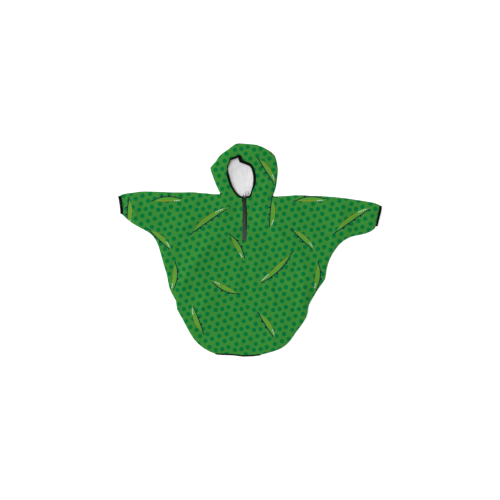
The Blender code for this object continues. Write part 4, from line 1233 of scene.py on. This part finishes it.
# %% The coil's core and its teeth
TOOTH_PITCH = 1.4
TOOTH_SINK = 0.5
TEETH_FROM = 1.0  # from the foot of the coil
TEETH_TO = 7.0  # from its top, below the slider
CORE_SINK = 0.55
CORE_CROWN = 0.5  # how far below the coil's top its rounded upper side reaches
SAME_ROW = 0.02
coil_core = solid_copy("zip_coil", "zip_coil_core", TAPE)
spots = points_of(coil_core)
coil_rows = spots[spots[:, 0] > ZIP_MIDDLE]
coil_y = np.unique(coil_rows[:, 1].round(2))
coil_top = np.array([coil_rows[np.abs(coil_rows[:, 1] - y) < SAME_ROW][:, 2].max() for y in coil_y])
tops = np.interp(spots[:, 1], coil_y, coil_top)
spots[:, 2] = np.where(tops - spots[:, 2] < CORE_CROWN, spots[:, 2] - CORE_SINK, spots[:, 2])
place_points(coil_core, spots)
tooth = extruded("zip_tooth", 8, [
    (-0.70, 0, 0.34, 0.50), (-0.45, 0, 0.64, 0.95), (0.30, 0, 0.62, 1.00), (2.10, -0.05, 0.56, 0.95),
    (2.75, -0.20, 0.40, 0.60),
])
rows = np.arange(coil_y.min() + TEETH_FROM, coil_y.max() - TEETH_TO, TOOTH_PITCH)
places = []
for hand, turn in ((1, 0.0), (-1, math.pi)):
    for y in rows + (0 if hand > 0 else TOOTH_PITCH / 2):
        places.append((ZIP_MIDDLE, y, np.interp(y, coil_y, coil_top) - TOOTH_SINK, turn, 0.0))
coil_teeth = repeated(tooth, "zip_coil_teeth", places, COIL)
bpy.data.objects.remove(tooth)
print("zip teeth:", len(places))

# %% [markdown]
# ## Slider and pull
#
# The slider is cast, so all its edges are rounded, and so are the pull's. The pull's ring stays bright. Its
# tab's rim and sides are painted darker, a painted dark reflection such as a metal edge shows, with a sunk field
# that is bright again, so a plane cuts the tab off from the ring and an inset sinks the field. The bail on top
# of the slider is plated as the pull is.

# %% Slider and pull
SMALL_ROUND = 0.22
SHARP_CAST = math.radians(35)
CAST_SMOOTH = 40
NEARLY_FLAT = math.radians(2)
PIVOT = Vector((-17.05, 170.0, 10.24))
PULL_WAY = Vector((0.669, 0.743, 0.0))
TAB_FROM = 8.2
TAB_RIM = 0.6
TAB_DEPTH = 0.3
TAB_UP = 0.8  # the least height of the normal of the tab's upper face
BAIL_FOOT = 8.7


def sink_field(piece, start, way, rim, depth, rim_finish, field_finish):
    """Cuts the flat of a tab off from its ring, sinks it inside a rim and gives each a finish of its own."""
    pick_all(piece)
    bpy.ops.mesh.bisect(plane_co=[c * MM for c in start], plane_no=way)
    pick_faces(piece, lambda face: (face.center / MM - start).dot(way) > 0)
    finish_picked(piece, rim_finish)
    pick_faces(piece, lambda face: face.normal.z > TAB_UP and (face.center / MM - start).dot(way) > 0)
    bpy.ops.mesh.inset(thickness=rim * MM, depth=-depth * MM)
    finish_picked(piece, field_finish)


def rounded_casting(piece):
    """Rounds every sharp edge, as casting does."""
    finish_modifier(piece, "BEVEL", width=SMALL_ROUND * MM, segments=2, limit_method="ANGLE",
                    angle_limit=SHARP_CAST)
    shade_smooth(piece, CAST_SMOOTH)


slider = solid_copy("zip_slider", "zip_slider_casting", LACQUER)
pull = solid_copy("zip_pull", "zip_pull_tab", PLATED)
for piece in (slider, pull):
    pick_all(piece)
    bpy.ops.mesh.dissolve_limited(angle_limit=NEARLY_FLAT)
# Painted dark reflection on the tab's rim and sides; its sunk field and the ring stay bright.
sink_field(pull, PIVOT + TAB_FROM * PULL_WAY, PULL_WAY, TAB_RIM, TAB_DEPTH, TAB_PAINTED_DARK, PLATED)
pick_faces(slider, lambda face: face.center.z > BAIL_FOOT * MM)
finish_picked(slider, PLATED)
for piece in (slider, pull):
    rounded_casting(piece)
    print(piece.name, len(piece.data.polygons), "faces")

# %% [markdown]
# ## Sewing
#
# Stitches hold the hem, the neck seam, the slit and the bindings. They could be painted on, but from close by
# real thread stands out of the cloth. One stitch is extruded from a small disc, ends sunk and middle arched,
# and copied along each line of sewing, laid on the cloth by a ray cast straight down.


# %% Laying stitches along a line
STITCH = 3.4
STITCH_HALF = 1.4
STEEPEST = 1.8
ABOVE_ALL = 50
BLUR = np.linspace(-6, 6, 9)[:, None]  # a line is smoothed over this way before and after each place


def line_round(edges, middle, up=1.0):
    """The ends of these edges as one line of points, in clockwise order round a middle point."""
    points = np.unique(edges.reshape(-1, 2).round(3), axis=0)
    turn = np.arctan2(points[:, 0] - middle[0], up * (points[:, 1] - middle[1]))
    return points[np.argsort(turn)]


def even_steps(line, step, side):
    """Points at even steps along a line, moved this far to its left side, with their directions."""
    length = np.concatenate([[0], np.cumsum(np.linalg.norm(np.diff(line, axis=0), axis=1))])
    stations = np.arange(step, length[-1] - step, step)
    x, y = (np.interp(np.clip(stations + BLUR, 0, length[-1]), length, line[:, i]).mean(axis=0) for i in (0, 1))
    turn = np.arctan2(np.gradient(y), np.gradient(x))
    return np.column_stack([x - side * np.sin(turn), y + side * np.cos(turn), turn])


def surface_below(piece):
    """A function that gives the height of the piece's upper side at a place on the page."""
    tree = BVHTree.FromPolygons(points_of(piece).tolist(), [list(face.vertices) for face in piece.data.polygons])

    def height(x, y):
        hit = tree.ray_cast(Vector((x, y, ABOVE_ALL)), Vector((0, 0, -1)))[0]
        return hit.z if hit else None

    return height


def sew(name, steps, height, material, reach=STITCH_HALF):
    """Lays a stitch at each step, tilted to the cloth between two places this far before and behind it."""
    places = []
    for x, y, turn in steps:
        ends = [height(x + way * math.cos(turn), y + way * math.sin(turn)) for way in (-reach, reach)]
        if None not in ends and abs(ends[1] - ends[0]) < STEEPEST * reach:
            places.append((x, y, sum(ends) / 2, turn, math.atan2(ends[1] - ends[0], 2 * reach)))
    piece = repeated(stitch, name, places, material)
    print(name, len(places), "stitches")
    return piece


stitch = extruded("stitch", 6, [
    (-1.40, -0.12, 0.24, 0.20), (-0.95, 0.10, 0.42, 0.34), (0.95, 0.10, 0.42, 0.34), (1.40, -0.12, 0.24, 0.20),
])

# %% Stitches on the panels and the face binding
SLIT_STITCH_OUT = 2.2  # outwards from the slit's edge
SLIT_STITCH_FOOT = 2
SLIT_STITCH_TOP = 162
FACE_STITCH = 3.0
FACE_STITCH_IN = -1.6
LINE_STEP = 4.0
FAR = 1000.0
SewLine = namedtuple("SewLine", "name line side thread")
body_height = surface_below(front)


def cuff_line(hand, height):
    """The line of one cuff, sorted as it is seen from far inside the garment at this height."""
    return line_round(front_edges["cuff"][front_edges["cuff"][:, 0, 0] * hand > 0], (-FAR * hand, height))


def slit_line(hand):
    """A straight line up one side of the slit."""
    x = ZIP_MIDDLE + hand * (ZIP_HALF + SLIT_STITCH_OUT)
    return np.array([(x, y) for y in np.arange(ZIP_FOOT - SLIT_STITCH_FOOT, SLIT_STITCH_TOP, LINE_STEP)])


SEWN = [SewLine(*row) for row in (
    ("hem_stitches", line_round(front_edges["hem"], (-20.0, -60.0), -1.0), 10.0, GREEN_THREAD),
    ("neck_stitches", line_round(front_edges["neck"], (-12.0, -FAR)), -4.0, GREEN_THREAD),
    ("left_slit_stitches", slit_line(-1), 0, GREEN_THREAD),
    ("left_cuff_stitches", cuff_line(-1, 140.0), -2.0, BLACK_THREAD),
    ("right_slit_stitches", slit_line(1), 0, GREEN_THREAD),
    ("right_cuff_stitches", cuff_line(1, 105.0), -2.0, BLACK_THREAD),
)]
threads = [sew(row.name, even_steps(row.line, STITCH, row.side), body_height, row.thread) for row in SEWN]
face_steps = even_steps(line_round(hood_edges["face"], FACE_MIDDLE), FACE_STITCH, FACE_STITCH_IN)
threads.append(sew("face_binding_stitches", face_steps, surface_below(face_binding), BLACK_THREAD))

# %% [markdown]
# ## Tacks and loose ends
#
# A tack is a few stitches side by side where sewing must hold: across the slit's foot, and at two places on
# the hood's seam. The ends of the neck seam's tape stand out on both sides, and the face binding's two tails
# run on down beside the slit. These are bits of folded tape too small for the solids, so each is extruded.

# %% Tacks
TACK_STEP = 0.55
TACK_DROP = 1.0
TACK_ACROSS = (-4.6, -1.5, 1.5, 4.6)
TACK_ROWS = 4
HOOD_TACK_STEP = 0.42
HOOD_TACK_HALF = 0.6
Tack = namedtuple("Tack", "x y turn length")
HOOD_TACKS = [Tack(-59.8, 318.8, 38, 5.0), Tack(67.2, 301.6, -45, 8.4)]
foot_tack = [(ZIP_MIDDLE + x, ZIP_FOOT - TACK_DROP - TACK_STEP * row, 0.0)
             for row in range(TACK_ROWS) for x in TACK_ACROSS]
threads.append(sew("zip_foot_tack", foot_tack, body_height, BLACK_THREAD))
hood_tacks = [
    (tack.x + way * math.cos(math.radians(tack.turn)), tack.y + way * math.sin(math.radians(tack.turn)),
     math.radians(tack.turn + 90))
    for tack in HOOD_TACKS for way in np.arange(-tack.length / 2, tack.length / 2, HOOD_TACK_STEP)
]
threads.append(sew("hood_seam_tacks", hood_tacks, surface_below(hood), BLACK_THREAD, HOOD_TACK_HALF))

# %% Ends of the neck tape and tails of the face binding
TAIL_SINK = 0.2
TapeEnd = namedtuple("TapeEnd", "name x y z turn")
TAPE_ENDS = [
    TapeEnd("left_neck_tape_end", -90.6, 175.3, 3.2, 40),
    TapeEnd("right_neck_tape_end", 71.6, 166.8, 3.6, -34),
]
Tail = namedtuple("Tail", "x y cloth_x")  # its height is taken from the cloth at cloth_x, clear of the slit
TAILS = [Tail(-23.6, 157.6, -25.2), Tail(-11.9, 160.4, -9.8)]
tape_fold = extruded("tape_fold", 10, [
    (-4.4, 0, 2.8, 0.9), (-3.4, 0, 4.4, 1.6), (0.4, 0.15, 4.2, 1.8), (3.6, 0.1, 2.8, 1.4), (5.4, 0, 1.4, 0.7),
])
tape_ends = [
    repeated(tape_fold, end.name, [(end.x, end.y, end.z, math.radians(end.turn), 0.0)], BINDING)
    for end in TAPE_ENDS
]
tail = extruded("tail", 8, [
    (-7.0, 0, 3.2, 1.6), (-2.0, 0, 2.8, 1.6), (3.0, 0, 1.9, 1.4), (6.5, 0, 0.7, 0.8),
])
tails = [(place.x, place.y, body_height(place.cloth_x, place.y) - TAIL_SINK, -math.pi / 2, 0.0)
         for place in TAILS]
tape_ends.append(repeated(tail, "binding_tails", tails, BINDING))
for model in (stitch, tape_fold, tail):
    bpy.data.objects.remove(model)
print("tacks:", len(foot_tack), "and", len(hood_tacks), "stitches; tape ends:", len(tape_ends), "pieces")

# %% [markdown]
# ## What each piece is
#
# Every piece rides on the body it moves with, and the solid that it stands for is hidden. A table pairs each
# piece with that solid and the finish of the record it takes, and another gives the size each sheet was cut to.
# Their cut areas are their own, measured flat. Nothing here reads the finishes or the sizes.

# %% Ride and replace
DRESSED = [
    (front, "front_body", "shell"),
    (back, "back_body", "shell"),
    (hood, "hood_front", "shell"),
    (hood_back, "hood_back", "shell"),
    (lining, "hood_lining", "lining"),
    (face_binding, "face_binding", "binding"),
    (cuff_left, "cuff_binding_left", "binding"),
    (cuff_right, "cuff_binding_right", "binding"),
    (hem_front, "hem_binding_front", "binding"),
    (hem_back, "hem_binding_back", "binding"),
    (tape_left, "zip_tape_left", "tape"),
    (tape_right, "zip_tape_right", "tape"),
    (coil_core, "zip_coil", "tape"),
    (slider, "zip_slider", "metal"),
]
for piece, node, finish in DRESSED:
    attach(piece, GARMENT)
    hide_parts(node)
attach(coil_teeth, GARMENT)
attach(pull, PULL)
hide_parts("zip_pull")
for piece in threads + tape_ends:
    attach(piece, GARMENT)
Cut = namedtuple("Cut", "piece width length area rests_on trims")
CUTS = [
    Cut(front, 0.810, 0.512, 0.262, "back_panel", [cuff_left, cuff_right, hem_front, tape_left, tape_right]),
    Cut(back, 0.810, 0.512, 0.262, "floor", [hem_back]),
    Cut(hood, 0.210, 0.170, 0.0195, "hood_back_panel", [face_binding]),
    Cut(hood_back, 0.210, 0.170, 0.029, "floor", []),
    Cut(lining, 0.192, 0.160, 0.024, "hood_back_panel", []),
]
for cut in CUTS:
    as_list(cut.trims)

# %% [markdown]
# ## The table, the light and the camera
#
# The garment lies on a pale floor and the camera looks straight down from far enough away that one metre and
# a half fills the picture. A pale sky gives even light from all sides. One large soft lamp stands far off on
# the left, low enough for its light to rake over the folds and shade them. The table glows faintly, as a lit
# acrylic one does, so that it stays white beside the darker cloth.

# %% Floor, light and camera
FIELD = 1.5625
LENS = 85.0
SENSOR = 36.0
SKY = 0.76
LAMP_POWER = 1335.0
LAMP_SIZE = 5.0
LAMP_PLACE = (-12.0, 3.2, 7.7)
FLOOR_GLOW = 0.25
FLOOR_SIZE = 30
FLOOR_SINK = 0.05
WHITE = linear("#FFFFFF")

scene = bpy.context.scene
let_go()
bpy.ops.mesh.primitive_plane_add(size=FLOOR_SIZE, location=(0, 0, -FLOOR_SINK * MM))
floor = bpy.context.object
floor.name = "floor"
floor.data.materials.append(new_material(
    "lit_acrylic_table", Base_Color=WHITE, Roughness=0.9, Emission_Color=WHITE, Emission_Strength=FLOOR_GLOW)[0])

world = bpy.data.worlds.new("pale_studio")
world.use_nodes = True
background = world.node_tree.nodes["Background"]
background.inputs["Color"].default_value = WHITE
background.inputs["Strength"].default_value = SKY
scene.world = world
bpy.ops.object.light_add(type="AREA", location=LAMP_PLACE)
lamp = bpy.context.object
lamp.data.size = LAMP_SIZE
lamp.data.energy = LAMP_POWER
lamp.rotation_euler = (Vector((0, 0, 0)) - Vector(LAMP_PLACE)).to_track_quat("-Z", "Y").to_euler()

bpy.ops.object.camera_add(location=(0, 0, FIELD * LENS / SENSOR), rotation=(0, 0, 0))
camera = bpy.context.object
camera.data.lens = LENS
camera.data.sensor_width = SENSOR
camera.data.clip_end = 50
scene.camera = camera
scene.view_settings.view_transform = "Standard"
